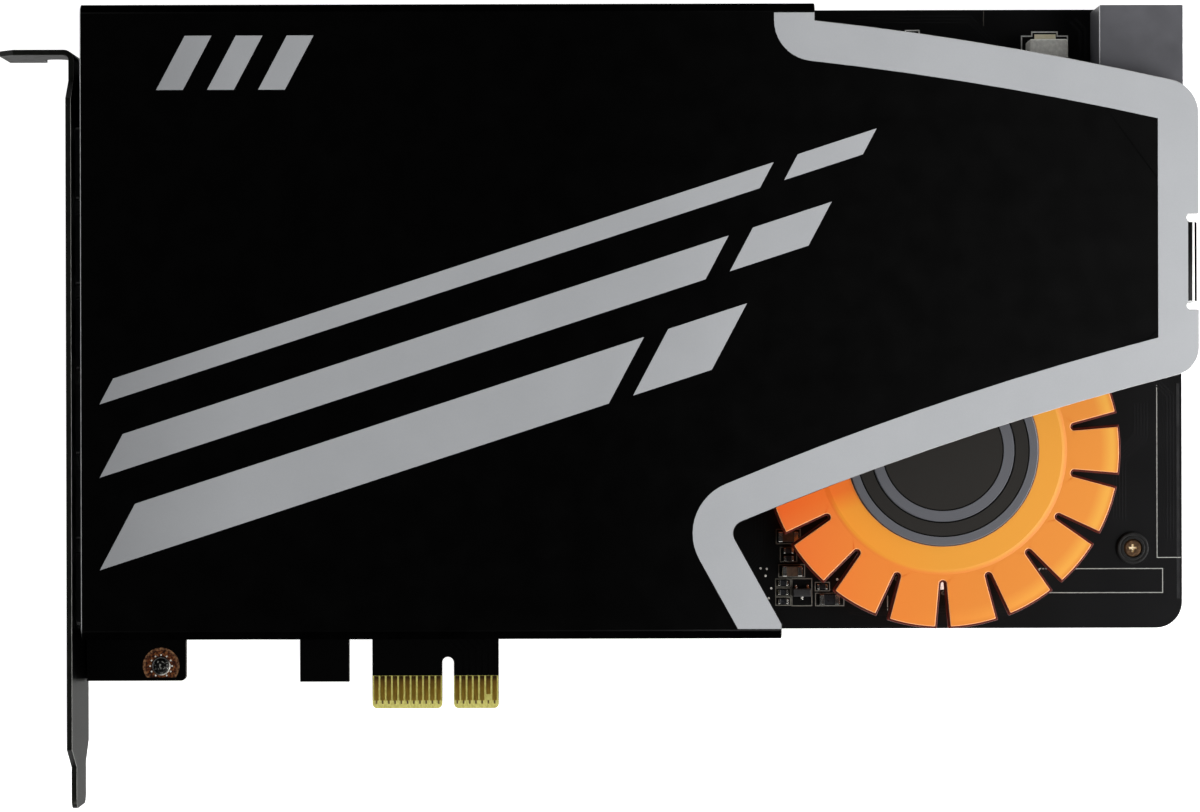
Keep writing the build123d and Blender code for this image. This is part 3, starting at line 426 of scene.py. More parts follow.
def thread_look():
    # A dark bore and screw end as painted shade in the hole, with a few painted glints.
    look = Look("dark_thread", 0.4, 0.4, 0.3)
    glint = look.fine(0.4)
    return look.finished(look.ramp(glint, [(0.58, grey(7)), (0.66, tone(150, 150, 144))]), glint, 0.01)


def laminate_look():
    # Bare glass-fibre laminate with its weave.
    look = Look("laminate", 0.55, 0.0, 0.4)
    weave = look.noise(0.25, 3.0, (1, 0.4, 1))
    return look.finished(look.mottled(weave, tone(171, 163, 80), tone(206, 200, 110)), weave, 0.01, 0.4)


def board_edge_look():
    # The cut edge shows the layers of the laminate.
    look = Look("board_edge", 0.6, 0.0, 0.3)
    layers = look.fine(0.6, (0.15, 0.15, 3.5))
    colour = look.ramp(layers, [(0.35, tone(30, 28, 22)), (0.65, tone(62, 56, 40))])
    return look.finished(colour, layers, 0.02)


def print_look():
    # Grey print with a fine speck, brighter towards the cover's free end as painted light.
    look = Look("print_grey", 0.42, 0.0, 0.3)
    grain = look.fine(0.12)
    cloud = look.mottled(look.noise(9.0, 3.0), tone(182, 184, 187), tone(186, 188, 191))
    speck = look.mottled(grain, even(0.95), even(1.0))
    fade = look.ramp(look.along_cover(), [(place, even(share)) for place, share in print_painted_light])
    return look.finished(look.multiplied(look.multiplied(cloud, speck), fade), grain, 0.004, 0.3)


def cover_look():
    # Black paint, a shade paler towards the free end.
    look = Look("cover_black", 0.3, 0.0, 0.12)
    base = look.ramp(look.along_cover(), [(0.45, grey(1)), (1.0, grey(12))])
    look.roughness(look.span(look.noise(5.0), 0.25, 0.75, 0.27, 0.33))
    return look.finished(look.worn(base, 5.0, 0.8), look.fine(0.6), 0.004)


def cover_edge_look():
    # Bare rims, with a painted highlight at the left side and along the free end; dark elsewhere and along
    # the folds.
    look = Look("cover_edge", 0.35, 0.3, 0.4)
    base = look.ramp(look.along_cover(), [(0.006, tone(206, 207, 208)), (0.012, grey(10)),
                                          (0.66, grey(12)), (0.74, grey(206))])
    dark = look.mottled(look.noise(1.5), grey(6), grey(12))
    above_fold = look.between(look.axis("Y"), cover_low[1] + rim_dark, cover_low[1] + rim_bright)
    return look.finished(look.worn(look.blend(above_fold, dark, base), 1.5, 0.6), look.fine(0.2), 0.006)


def bracket_edge_look():
    # Black like the sheet, with a painted highlight line on its inner edge.
    look = Look("bracket_edge", 0.35, 0.5, 0.4)
    across = look.between(look.axis("X"), bracket_inner - highlight_half, bracket_inner + highlight_half)
    black = tone(44, 45, 42)
    bright = tone(136, 136, 132)
    base = look.ramp(across, [(0.15, black), (0.35, bright), (0.6, bright), (0.75, black)])
    return look.finished(look.worn(base, 1.2, 0.55), look.fine(0.2), 0.008)


def bracket_inner_look():
    # The face towards the board: deep black beside the board as painted shade, satin on the tongue below it.
    look = Look("bracket_inner", 0.36, 0.9, 0.5, 0.3)
    satin = look.mottled(look.noise(0.9), tone(48, 49, 46), tone(55, 56, 52))
    black = look.mottled(look.noise(0.9), grey(2), grey(5))
    height = look.between(look.along((0, 1, -shade_slope)), shade_from, shade_to)
    return look.finished(look.blend(height, satin, black), look.fine(0.11), 0.012)


def light_look():
    # A lamp's pale lens, faintly lit.
    look = Look("light_white", 0.35, 0.0, 0.4)
    colour = look.mottled(look.noise(0.6), tone(226, 214, 208), tone(246, 238, 234))
    look.glow(colour, light_glow)
    return look.finished(colour, look.fine(0.2), 0.006)


mask = mask_look("board_mask", 1.0, 0.3)
trace = mask_look("masked_trace", 2.2, 0.26)
silk_behind = grained("silk_behind", (168, 168, 164), (206, 206, 202), 0.6, 0.6, 0.06, 0.006, specular=0.3)
tin = grained("tin", (186, 184, 178), (220, 218, 212), 0.8, 0.2, 0.06, 0.02, metal=1.0)
solder = grained("solder", (168, 170, 172), (206, 208, 210), 0.7, 0.26, 0.06, 0.02, metal=0.95)
land_bright = grained("land_bright", (206, 204, 196), (238, 236, 228), 0.3, 0.4, metal=0.2)
gold = grained("gold", (206, 164, 74), (236, 198, 108), 0.6, 0.28, 0.06, metal=0.95)
via_dim = grained("via_dim", (54, 51, 46), (84, 80, 74), 0.3, 0.4, metal=0.2)
strip_grey = grained("strip_grey", (34, 34, 35), (42, 42, 43), 2.0, 0.35, depth=0.006, specular=0.22)
tail_gold = grained("tail_gold", (74, 58, 22), (108, 88, 38), 0.3, 0.4, 0.06, metal=0.5)
# Painted highlight: a pale gold cross in the corner screw's recess
recess_highlight = grained("recess_highlight", (226, 204, 160), (250, 236, 206), 0.4, 0.35, metal=0.2)
brass = grained("brass", (198, 180, 118), (230, 214, 156), 1.2, 0.34, 0.06, metal=0.35)
bracket_black = grained("bracket_black", (46, 47, 44), (53, 54, 50), 0.9, 0.36, depth=0.012,
                        metal=0.9, tint=0.3)
# Painted shade: a darker copy of the bracket's black for its slanted faces
bracket_shade = grained("bracket_shade", (12, 12, 11), (18, 18, 17), 0.9, 0.4, depth=0.012,
                       metal=0.5, specular=0.3, tint=0.3)
# Painted shade: flat black without sheen for the cover's folds and the outer part of its end bend
fold_shade = grained("fold_shade", (1, 1, 1), (3, 3, 3), 5.0, 0.7, depth=0.004, specular=0.0)
# Painted highlight: a pale stripe along the cover's end bend
bend_highlight = grained("bend_highlight", (214, 214, 214), (238, 238, 238), 1.5, 0.35, depth=0.004, metal=0.2)
steel = grained("steel", (150, 150, 150), (190, 190, 190), 1.5, 0.32, 0.06, metal=0.9)
black_screw = grained("black_screw", (44, 44, 46), (66, 66, 68), 1.2, 0.34, 0.06, metal=0.85)
bronze_screw = grained("bronze_screw", (78, 58, 42), (108, 82, 58), 0.8, 0.36, 0.06, metal=0.8)
washer_black = grained("washer_black", (12, 12, 12), (17, 17, 17), 0.6, 0.45, depth=0.006, specular=0.2)
# Painted highlight: a paler copy of the washer's black on its rounded rims
washer_rim_highlight = grained("washer_rim_highlight", (30, 30, 30), (44, 44, 43), 0.6, 0.6, depth=0.006, specular=0.15)
# Painted shade: dark red for the disc's walls and lip
disc_wall_shade = grained("disc_wall_shade", (78, 17, 4), (108, 30, 9), 1.2, 0.5, 0.06, specular=0.15)
hub_dark = hub_ring_look("hub_dark", tone(37, 35, 32), tone(44, 41, 38), 0.42)
# Painted shade: near black in the hub cap's grooves
groove_shade = grained("groove_shade", (3, 3, 3), (7, 7, 7), 0.8, 0.5, depth=0.006, specular=0.1)
ring_grey = hub_ring_look("ring_grey", tone(97, 98, 103), tone(114, 115, 121), 0.38)
black_plastic = grained("black_plastic", (22, 22, 23), (32, 32, 33), 2.5, 0.42, 0.06, 0.012)
connector_plastic = grained("connector_plastic", (79, 79, 83), (92, 92, 97), 6.0, 0.4)
# Painted highlight: a pale line on the power connector's long upper edges
connector_edge_highlight = grained("connector_edge_highlight", (226, 226, 230), (246, 246, 248), 2.0, 0.35, depth=0.006)
chip_black = grained("chip_black", (20, 20, 21), (30, 30, 31), 1.2, 0.5, 0.06, 0.015)
can_metal = grained("can_metal", (192, 193, 194), (220, 221, 222), 1.6, 0.25, depth=0.008, metal=0.95)
can_sleeve = grained("can_sleeve", (20, 20, 23), (34, 34, 38), 2.0, 0.3, depth=0.006)
film_red = grained("film_red", (140, 22, 18), (172, 34, 28), 1.5, 0.28)
relay_ivory = grained("relay_ivory", (206, 202, 186), (222, 218, 204), 3.0, 0.4, depth=0.008)
# Painted light: the inductor's grey made paler than its own where the connector and the cover shade it
inductor_grey = grained("inductor_grey", (182, 181, 176), (208, 207, 201), 0.5, 0.7, depth=0.04)
# Painted light: the inductor's leads made near white where little light reaches them
lead_lit = grained("lead_lit", (246, 236, 200), (254, 248, 222), 0.5, 0.3)
resistor_black = grained("resistor_black", (16, 17, 20), (26, 28, 33), 0.4, 0.3, depth=0.008)
ceramic_tan = grained("ceramic_tan", (58, 40, 24), (84, 60, 38), 0.5, 0.5, 0.06, 0.012)
mark_black = grained("mark_black", (22, 22, 24), (32, 32, 34), 0.6, 0.5, depth=0.006)
dark_thread = thread_look()
laminate = laminate_look()

# Dressing of the solids
# Corners closer than one of these steps count as one place, and a weld joins within its reach in metres.
steps_per_metre = 1e7
weld_reach = 1e-6


def dress(material, *names):
    for name in names:
        mesh = nodes[name].data
        mesh.materials.clear()
        mesh.materials.append(material)


def solids_of(mesh):
    # Lists of polygons, one for each separate solid, joined where corners share a place.
    parent = {}

    def root(key):
        while parent[key] != key:
            parent[key] = parent[parent[key]]
            key = parent[key]
        return key

    keys = []
    for vertex in mesh.vertices:
        key = tuple(round(value * steps_per_metre) for value in vertex.co)
        keys.append(key)
        parent.setdefault(key, key)
    for polygon in mesh.polygons:
        first = root(keys[polygon.vertices[0]])
        for index in polygon.vertices[1:]:
            parent[root(keys[index])] = first
    groups = {}
    for polygon in mesh.polygons:
        groups.setdefault(root(keys[polygon.vertices[0]]), []).append(polygon)
    return list(groups.values())


def paint(material, rule, *names):
    # The material goes on each polygon that the rule picks, from its place in its own solid.
    for name in names:
        mesh = nodes[name].data
        mesh.materials.append(material)
        slot = len(mesh.materials) - 1
        for polygons in solids_of(mesh):
            points = [mesh.vertices[index].co for polygon in polygons for index in polygon.vertices]
            low = Vector([min(point[axis] for point in points) for axis in range(3)])
            high = Vector([max(point[axis] for point in points) for axis in range(3)])
            middle = (low + high) / 2
            half = (high - low) / 2 / MM
            for polygon in polygons:
                offset = (polygon.center - middle) / MM
                if rule(offset, half, polygon.normal):
                    polygon.material_index = slot


def edge_bevel(name, width, material=None, angle=40):
    # A fine rounded edge, in its own material where one is given.
    shape = nodes[name]
    weld = shape.modifiers.new("weld", "WELD")
    weld.merge_threshold = weld_reach
    bevel = shape.modifiers.new("edge", "BEVEL")
    bevel.width = width * MM
    bevel.segments = 2
    bevel.limit_method = "ANGLE"
    bevel.angle_limit = math.radians(angle)
    bevel.use_clamp_overlap = False
    if material:
        shape.data.materials.append(material)
        bevel.material = len(shape.data.materials) - 1


# Limits of the rules below: parts of a polygon's normal, then distances and a share of a chip's length
wall_tilt = 0.5
can_tilt = 0.3
upward = 0.3
aslant = 0.2
bend_highlight_from = 0.42
bend_highlight_to = 0.66
bend_reach = 2.0
lead_margin = 0.02
plated_share = 0.57
base_height = 1.01
lip_margin = 0.1
recess_depth = 0.4
recess_radius = 0.8
thread_height = 0.4
groove_depth = 0.1
tab_height = 0.62
tab_inset = 2.4


def leads_beyond(reach_x, reach_y):
    # Picks what stands outside a chip's body, from how far its leads reach on each side.
    def rule(offset, half, normal):
        beyond_x = abs(offset.x) > half.x - reach_x + lead_margin
        return beyond_x or abs(offset.y) > half.y - reach_y + lead_margin
    return rule


def tab_leads(offset, half, normal):
    return offset.z < tab_height - half.z and abs(offset.y) > tab_inset


def plated_end(offset, half, normal):
    return abs(offset.x) > half.x * plated_share


def side_wall(offset, half, normal):
    return abs(normal.z) < wall_tilt


def can_side(offset, half, normal):
    return abs(normal.z) < can_tilt


def can_base(offset, half, normal):
    return offset.z < -half.z + base_height


def edge_slope(offset, half, normal):
    return normal.y < -aslant and abs(normal.z) > wall_tilt


def disc_wall_or_lip(offset, half, normal):
    return abs(normal.z) < wall_tilt or abs(offset.z + half.z - disc_lip_thickness) < lip_margin


def long_upper_edge(offset, half, normal):
    return abs(normal.x) > aslant and normal.z > aslant


def cross_recess(offset, half, normal):
    return lead_margin < half.z - offset.z < recess_depth and offset.xy.length < recess_radius


def screw_end(offset, half, normal):
    return normal.z > upward and offset.z > half.z - thread_height


def slanted_edge(offset, half, normal):
    return normal.z > upward and normal.xy.length > wall_tilt


def inner_face(offset, half, normal):
    return normal.x > wall_tilt


def groove(offset, half, normal):
    return offset.z > 0 and (normal.z < upward or half.z - offset.z > groove_depth)


def fold(offset, half, normal):
    return abs(normal.y) > aslant and abs(offset.y) > half.y - bend_reach


def outer_bend(offset, half, normal):
    return offset.x > half.x - bend_reach and normal.x >= bend_highlight_to


def highlight_bend(offset, half, normal):
    facing = bend_highlight_from < normal.x < bend_highlight_to and normal.z > upward
    return facing and offset.x > half.x - bend_reach


dress(mask, "circuit_board")
paint(board_edge_look(), side_wall, "circuit_board")
paint(laminate, edge_slope, "circuit_board")
dress(contact_look(), "edge_contacts_front", "edge_contacts_back")
dress(pad_look(), "ground_pad")
dress(bracket_black, "bracket")
paint(bracket_inner_look(), inner_face, "bracket")
paint(bracket_shade, slanted_edge, "bracket")
dress(black_screw, "bracket_screws", "cover_screws", "collar_screws")
# The screw end and the sleeve's bore get the painted shade and glints
paint(dark_thread, screw_end, "bracket_screws")
dress(steel, "insert_nuts", "corner_nut")
paint(dark_thread, side_wall, "insert_nuts")
dress(cover_look(), "shield_cover")
# Painted shade on the folds
paint(fold_shade, fold, "shield_cover")
# Painted highlight along the end bend
paint(bend_highlight, highlight_bend, "shield_cover")
# Painted shade on the end bend's outer part
paint(fold_shade, outer_bend, "shield_cover")
dress(print_look(), "cover_print")
dress(brass, "cover_standoffs")
dress(disc_look(), "light_disc")
# The disc's walls and lip get the painted shade
paint(disc_wall_shade, disc_wall_or_lip, "light_disc")
dress(hub_dark, "hub_cap")
paint(groove_shade, groove, "hub_cap")
dress(ring_grey, "hub_ring_outer", "hub_ring_inner")
dress(black_plastic, "disc_collar", "panel_header")
dress(washer_black, "corner_washer")
dress(bronze_screw, "corner_screw")
paint(recess_highlight, cross_recess, "corner_screw")
dress(connector_plastic, "power_connector")
paint(connector_edge_highlight, long_upper_edge, "power_connector")
dress(tin, "power_pins")
dress(gold, "header_pins", "jack_rings")
dress(light_look(), "ring_lights")
dress(chip_black, "audio_processor", "converter_chip", "amplifier_chip", "bridge_chip",
      "memory_chip", "op_amps", "regulators", "transistors")
paint(tin, leads_beyond(1.0, 1.0), "audio_processor", "converter_chip")
paint(tin, leads_beyond(0.0, 1.05), "amplifier_chip", "op_amps")
paint(tin, leads_beyond(1.05, 0.0), "memory_chip")
paint(tin, leads_beyond(0.0, 0.55), "transistors")
paint(tin, tab_leads, "regulators")
dress(can_metal, "crystals", "filter_capacitors", "coupling_capacitors")
paint(can_sleeve, can_side, "filter_capacitors")
paint(black_plastic, can_base, "coupling_capacitors")
dress(film_red, "film_capacitors")
dress(inductor_grey, "power_inductors")
paint(lead_lit, leads_beyond(0.0, 1.2), "power_inductors")
dress(resistor_black, "resistors")
paint(tin, plated_end, "resistors")
dress(ceramic_tan, "ceramic_capacitors", "rear_capacitors")
paint(tin, plated_end, "ceramic_capacitors", "rear_capacitors")
jack_count = 6
for number in range(1, jack_count + 1):
    dress(black_plastic, f"audio_jack_{number}")
    dress(tin, f"jack_contacts_{number}")
relay_count = 3
for number in range(1, relay_count + 1):
    dress(relay_ivory, f"relay_{number}")
    paint(tin, leads_beyond(0.9, 0.0), f"relay_{number}")
edge_bevel("shield_cover", 0.14, cover_edge_look())
edge_bevel("bracket", 0.05, bracket_edge_look(), 60)
edge_bevel("insert_nuts", 0.1, insert_look())
edge_bevel("light_disc", 0.12, disc_edge_look())
edge_bevel("corner_washer", 0.05, washer_rim_highlight)
for small_parts in ("resistors", "ceramic_capacitors", "transistors"):
    edge_bevel(small_parts, 0.06)


# Added meshes
def placed(name, data):
    shape = bpy.data.objects.new(name, data)
    bpy.context.collection.objects.link(shape)
    return shape


def arc(x, y, radius, start, sweep, steps):
    # Points along an arc, given by its start and its sweep in degrees.
    angles = [math.radians(start + sweep * step / steps) for step in range(steps + 1)]
    return [(x + radius * math.cos(angle), y + radius * math.sin(angle)) for angle in angles]


def circle(x, y, radius, count):
    return arc(x, y, radius, 0, 360, count)[:-1]


def rectangle(left, right, near, far):
    return [(left, near), (right, near), (right, far), (left, far)]


def around(x, y, half_x, half_y):
    # Sides of a rectangle about its middle.
    return (x - half_x, x + half_x, y - half_y, y + half_y)


class Shape:
    # Gathers closed forms, then becomes one piece.
    def __init__(self):
        self.points = []
        self.faces = []

    def bands(self, layers, closed):
        # Faces between rings of equally many points, from the last ring on to the first where closed.
        start = len(self.points)
        count = len(layers[0])
        for layer in layers:
            self.points += layer
        for level in range(len(layers) if closed else len(layers) - 1):
            here = start + level * count
            beyond = start + (level + 1) % len(layers) * count
            for index in range(count):
                after = (index + 1) % count
                self.faces.append([here + index, here + after, beyond + after, beyond + index])

    def stack(self, layers):
        # A closed form through rings of points, with a face at each end.
        first = len(self.points)
        self.bands(layers, False)
        last = len(self.points)
        count = len(layers[0])
        self.faces += [list(range(first, first + count)), list(range(last - count, last))]

    def prism(self, outline, low, high):
        self.stack([[(x, y, z) for x, y in outline] for z in (low, high)])

    def loop(self, outer, inner, low, high):
        # A closed band between two outlines of equally many points.
        sides = ((outer, low), (outer, high), (inner, high), (inner, low))
        self.bands([[(x, y, z) for x, y in outline] for outline, z in sides], True)

    def box(self, left, right, near, far, low, high):
        self.prism(rectangle(left, right, near, far), low, high)

    def line(self, route, width, low, high):
        # A strip with mitred bends along an open route.
        self.prism(shifted(route, width / 2) + shifted(route, -width / 2)[::-1], low, high)

    def frame(self, sides, width, low, high):
        left, right, near, far = sides
        inner = rectangle(left + width, right - width, near + width, far - width)
        self.loop(rectangle(left, right, near, far), inner, low, high)

    def ring(self, x, y, inner, outer, low, high, count=16):
        self.loop(circle(x, y, outer, count), circle(x, y, inner, count), low, high)

    def disc(self, x, y, radius, low, high, count=16):
        self.prism(circle(x, y, radius, count), low, high)

    def cone(self, x, y, levels, count=16):
        # Rings of the given radius and height, one above the other.
        self.stack([[point + (z,) for point in circle(x, y, radius, count)] for radius, z in levels])

    def piece(self, name, material):
        mesh = bpy.data.meshes.new(name)
        mesh.from_pydata([tuple(value * MM for value in point) for point in self.points], [], self.faces)
        work = bmesh.new()
        work.from_mesh(mesh)
        bmesh.ops.recalc_face_normals(work, faces=work.faces)
        work.to_mesh(mesh)
        work.free()
        shape = placed(name, mesh)
        mesh.materials.append(material)
        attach(shape, "root")


# Sharpest mitre, as the cosine of half a bend
mitre_limit = 0.3


def shifted(route, distance):
    # The route moved sideways, with its bends mitred.
    moved = []
    for index, (x, y) in enumerate(route):
        before = Vector(route[max(index - 1, 0)])
        here = Vector((x, y))
        after = Vector(route[min(index + 1, len(route) - 1)])
        along_in = (here - before).normalized() if index else (after - here).normalized()
        along_out = (after - here).normalized() if index < len(route) - 1 else along_in
        normal_in = Vector((-along_in.y, along_in.x))
        normal_out = Vector((-along_out.y, along_out.x))
        mitre = (normal_in + normal_out).normalized()
        reach = distance / max(mitre.dot(normal_in), mitre_limit)
        moved.append((x + mitre.x * reach, y + mitre.y * reach))
    return moved


def bus(shape, route, count, pitch, width, low, high):
    # Parallel traces; returns their routes.
    lanes = [shifted(route, (index - (count - 1) / 2) * pitch) for index in range(count)]
    for lane in lanes:
        shape.line(lane, width, low, high)
    return lanes


silk_width = 0.14
bold_silk = 0.2
silk_depth = 0.025
trace_depth = 0.03
silk_top = face_z + silk_depth
trace_top = face_z + trace_depth
silk_back = back_z - silk_depth
trace_back = back_z - trace_depth
# A via stands this much higher than the traces.
via_rise = 0.01

# Places of parts under the cover, and the sizes of the outlines printed round them
filter_places = ((50, 92), (60, 93), (50, 80), (61, 80.5),
                 (25, 97), (11, 98.5), (-4, 98.5))
filter_ring = 4.3
coupling_places = [(-24.0 + 9.6 * column, 26.0 + 9.2 * row) for row in range(8) for column in range(2)]
coupling_half = 3.6
standoff_places = ((-38, 104), (48, 104.5), (-36, 19.6), (36, 19.2), (108.6, 60.5))
standoff_ring = 3.1
ring_sides = 40
# Centre of each chip and half its outline's length and width
chip_outlines = [(36, 63, 6.4, 6.4), (19, 75, 4.9, 4.9), (20, 53.5, 5.6, 5.2),
                 (1, 22.5, 5, 5), (15, 22, 3.4, 2.9)]
chip_outlines += [(-3.0, 34.0 + 16.0 * row, 2.9, 3.4) for row in range(4)]

# Bare laminate round the contacts, with their tails on the bevel
bevel_length = 1.3
bevel_depth = 0.45
contact_pitch = 1.0
sheet_depth = 0.02
sheet_inset = 0.04
sheet_beyond = 0.05
tail_depth = 0.05
tail_half = 0.13
tail_end = 0.75
# Left and right end of each bare stretch, its first contact and their number
contact_runs = ((-12.15, -0.95, -11.5, 11), (0.95, 8.15, 1.5, 7))
for side, level, up in (("front", face_z, 1), ("back", back_z, -1)):
    bare = Shape()
    tails = Shape()
    for left, right, first, count in contact_runs:
        bare.box(left + sheet_inset, right - sheet_inset, bevel_length, contact_end + sheet_beyond,
                 level, level + sheet_depth * up)
        for index in range(count):
            x = first + index * contact_pitch
            layers = []
            for y in (bevel_length, tail_end):
                z = level - bevel_depth * up * (1 - y / bevel_length)
                top = z + tail_depth * up
                left_x, right_x = x - tail_half, x + tail_half
                layers.append([(left_x, y, z), (right_x, y, z), (right_x, y, top), (left_x, y, top)])
            tails.stack(layers)
    bare.piece(f"bare_laminate_{side}", laminate)
    tails.piece(f"contact_tails_{side}", tail_gold)

# Vias round the screw land, without the lowest one
dot_circle = 1.77
dot_radius = 0.15
dot_count = 12
dot_foot = 0.04
dot_top = 0.09
land_dots = Shape()
for x, y in circle(screw_x, lower_screw_y, dot_circle, dot_count):
    if y > lower_screw_y - dot_circle + dot_radius:
        land_dots.disc(x, y, dot_radius, face_z + dot_foot, face_z + dot_top, 10)
land_dots.piece("land_dots", land_bright)

# Printed frames on the component side, by their left, right, lower and upper sides
first_row = 16.38
row_pitch = 1.48
row_height = 1.42
row_lows = [first_row + row_pitch * row for row in range(3)]
front_frames = [(52.65, 55.15, low, low + row_height) for low in row_lows]
front_frames += [(55.25, 58.6, 16.3, 20.8), (59.05, 63.75, 16.3, 18.45), (59.0, 61.45, 18.7, 20.2),
                 (53.15, 57.45, 20.95, 23.05), (52.75, 56.75, 26.3, 28.75), (53.4, 56.2, 23.4, 25.85),
                 (95.0, 115.0, 18.3, 22.3), (102.8, 117.4, 91.4, 98.4)]
front_frames += [around(x, y, coupling_half, coupling_half) for x, y in coupling_places]
front_frames += [around(*outline) for outline in chip_outlines]
outlines = Shape()
for sides in front_frames:
    outlines.frame(sides, silk_width, face_z, silk_top)
# Two open lines beside the disc, and a small mark near the upper edge
corner_line = [(114.05, 51.7), (114.05, 24.0), (117.9, 24.0)]
short_line = [(70.7, 15.4), (70.7, 18.0)]
edge_mark = [(73.8, 108.2), (73.8, 108.8), (76.0, 108.8), (76.0, 108.2)]
outlines.line(corner_line, silk_width, face_z, silk_top)
outlines.line(short_line, silk_width, face_z, silk_top)
outlines.line(edge_mark, bold_silk, face_z, silk_top)
# The outline round the inductor, with a step at each end for its leads
inductor_x = 96.15
inductor_y = 103.6
half_side = 3.69
half_step = 2.03
shoulder = 4.25
step_end = 4.9
for sign in (1, -1):
    near, far = sign * shoulder, sign * step_end
    edge = [(-half_side, 0), (-half_side, near), (-half_step, near), (-half_step, far),
            (half_step, far), (half_step, near), (half_side, near), (half_side, 0)]
    outlines.line([(inductor_x + x, inductor_y + y) for x, y in edge], bold_silk, face_z, silk_top)
for x, y in filter_places:
    outlines.ring(x, y, filter_ring, filter_ring + silk_width, face_z, silk_top, ring_sides)
outlines.piece("front_outlines", silk_look())

# A strip along the board's end and a faint mark near the upper edge
strip_depth = 0.02
end_strip = Shape()
end_strip.box(117.2, 117.68, 17.4, 52.0, face_z, face_z + strip_depth)
end_strip.piece("end_strip", strip_grey)
faint_mark = Shape()
faint_mark.line([(86.36, 111.9), (86.36, 109.5)], silk_width, face_z, silk_top)
faint_mark.piece("faint_mark", via_dim)

# Vias on the component side: two seen in the disc's slots, and small ones beside the cover's leg
slot_vias = Shape()
for x, y in ((79.7, 18.4), (72.2, 20.7)):
    slot_vias.ring(x, y, 0.15, 0.38, face_z, trace_top + via_rise)
slot_vias.piece("slot_vias", via_dim)
front_vias = Shape()
for x, y in ((50.3, 22.4), (51.3, 22.3), (51.1, 21.2), (52.0, 19.2), (51.6, 17.6),
             (62.6, 20.6), (66.2, 17.0)):
    front_vias.ring(x, y, 0.06, 0.18, face_z, trace_top + via_rise, 12)

# Traces on the component side: route, number, pitch and width
front_routes = (
    ([(47.5, 22), (50, 24.5), (50, 33), (54, 37)], 4, 0.5, 0.2),
    ([(64.5, 15.5), (92, 15.5), (96, 19.5), (96, 24)], 3, 0.5, 0.2),
    ([(116.2, 27), (116.2, 50), (113, 53.2)], 3, 0.5, 0.2),
    ([(108, 30), (108, 40), (111.5, 43.5), (111.5, 49)], 5, 0.5, 0.2),
    ([(66, 110.6), (84, 110.6), (88, 106.6)], 3, 0.5, 0.2),
    ([(100.6, 110.5), (102.3, 108.8), (102.3, 101)], 2, 0.9, 0.5),
    ([(-10, 12), (-10, 16.5), (-4, 22.5)], 5, 1, 0.3),
)
front_traces = Shape()
for route, count, pitch, width in front_routes:
    bus(front_traces, route, count, pitch, width, face_z, trace_top)
# One trace from each contact right of the notch
lane_start = 5.6
lane_bend = 8.5
lane_stagger = 0.35
lane_turn = 2.0
lane_width = 0.28
notch_right, notch_count = contact_runs[1][2:]
for index in range(notch_count):
    x = notch_right + index * contact_pitch
    bend = lane_bend + lane_stagger * index
    lane = [(x, lane_start), (x, bend), (x - lane_turn, bend + lane_turn)]
    front_traces.line(lane, lane_width, face_z, trace_top)
front_traces.piece("front_traces", trace)
front_vias.piece("front_vias", land_bright)

# Pins of jacks, connector and header
jack_first = 20.0
jack_pitch = 13.4
jack_lines = [jack_first + jack_pitch * index for index in range(jack_count)]
jack_end_x = -43.6
jack_side_x = (-53.76, -47.33)
jack_side_reach = 5.85
jack_pins = []
for line in jack_lines:
    jack_pins.append((jack_end_x, line))
    for x in jack_side_x:
        jack_pins += [(x, line + jack_side_reach), (x, line - jack_side_reach)]
power_pins = [(x, y) for x in (105.95, 110.15, 114.35) for y in (97.3, 92.9)]
header_x = (105.03, 102.49)
header_y = 85.0
header_pitch = 2.54
header_columns = 5
blank_pin = 7
header_pins = []
for column in range(header_columns):
    for row in range(2):
        if column * 2 + row != blank_pin:
            header_pins.append((header_x[row], header_y + (column - header_columns // 2) * header_pitch))

# Solder at those pins on the back: the places, the joint's radius at its foot and at its tip
solder_sets = ((jack_pins, 0.95, 0.46), (power_pins, 1.35, 0.72), (header_pins, 0.85, 0.42))
land_depth = 0.035
land_beyond = 0.22
joints = Shape()
lands = Shape()
for places, foot, tip in solder_sets:
    # A hollow-sided cone from the land to the pin, by its radius and its height over the back
    profile = ((foot, 0.0), (foot * 0.86, 0.16), (foot * 0.6, 0.45), (tip, 0.95), (tip * 0.6, 1.02))
    for x, y in places:
        joints.cone(x, y, [(radius, back_z - height) for radius, height in profile])
        lands.ring(x, y, foot * 0.5, foot + land_beyond, back_z, back_z - land_depth, 20)
joints.piece("solder_joints", solder)
lands.piece("solder_lands", gold)

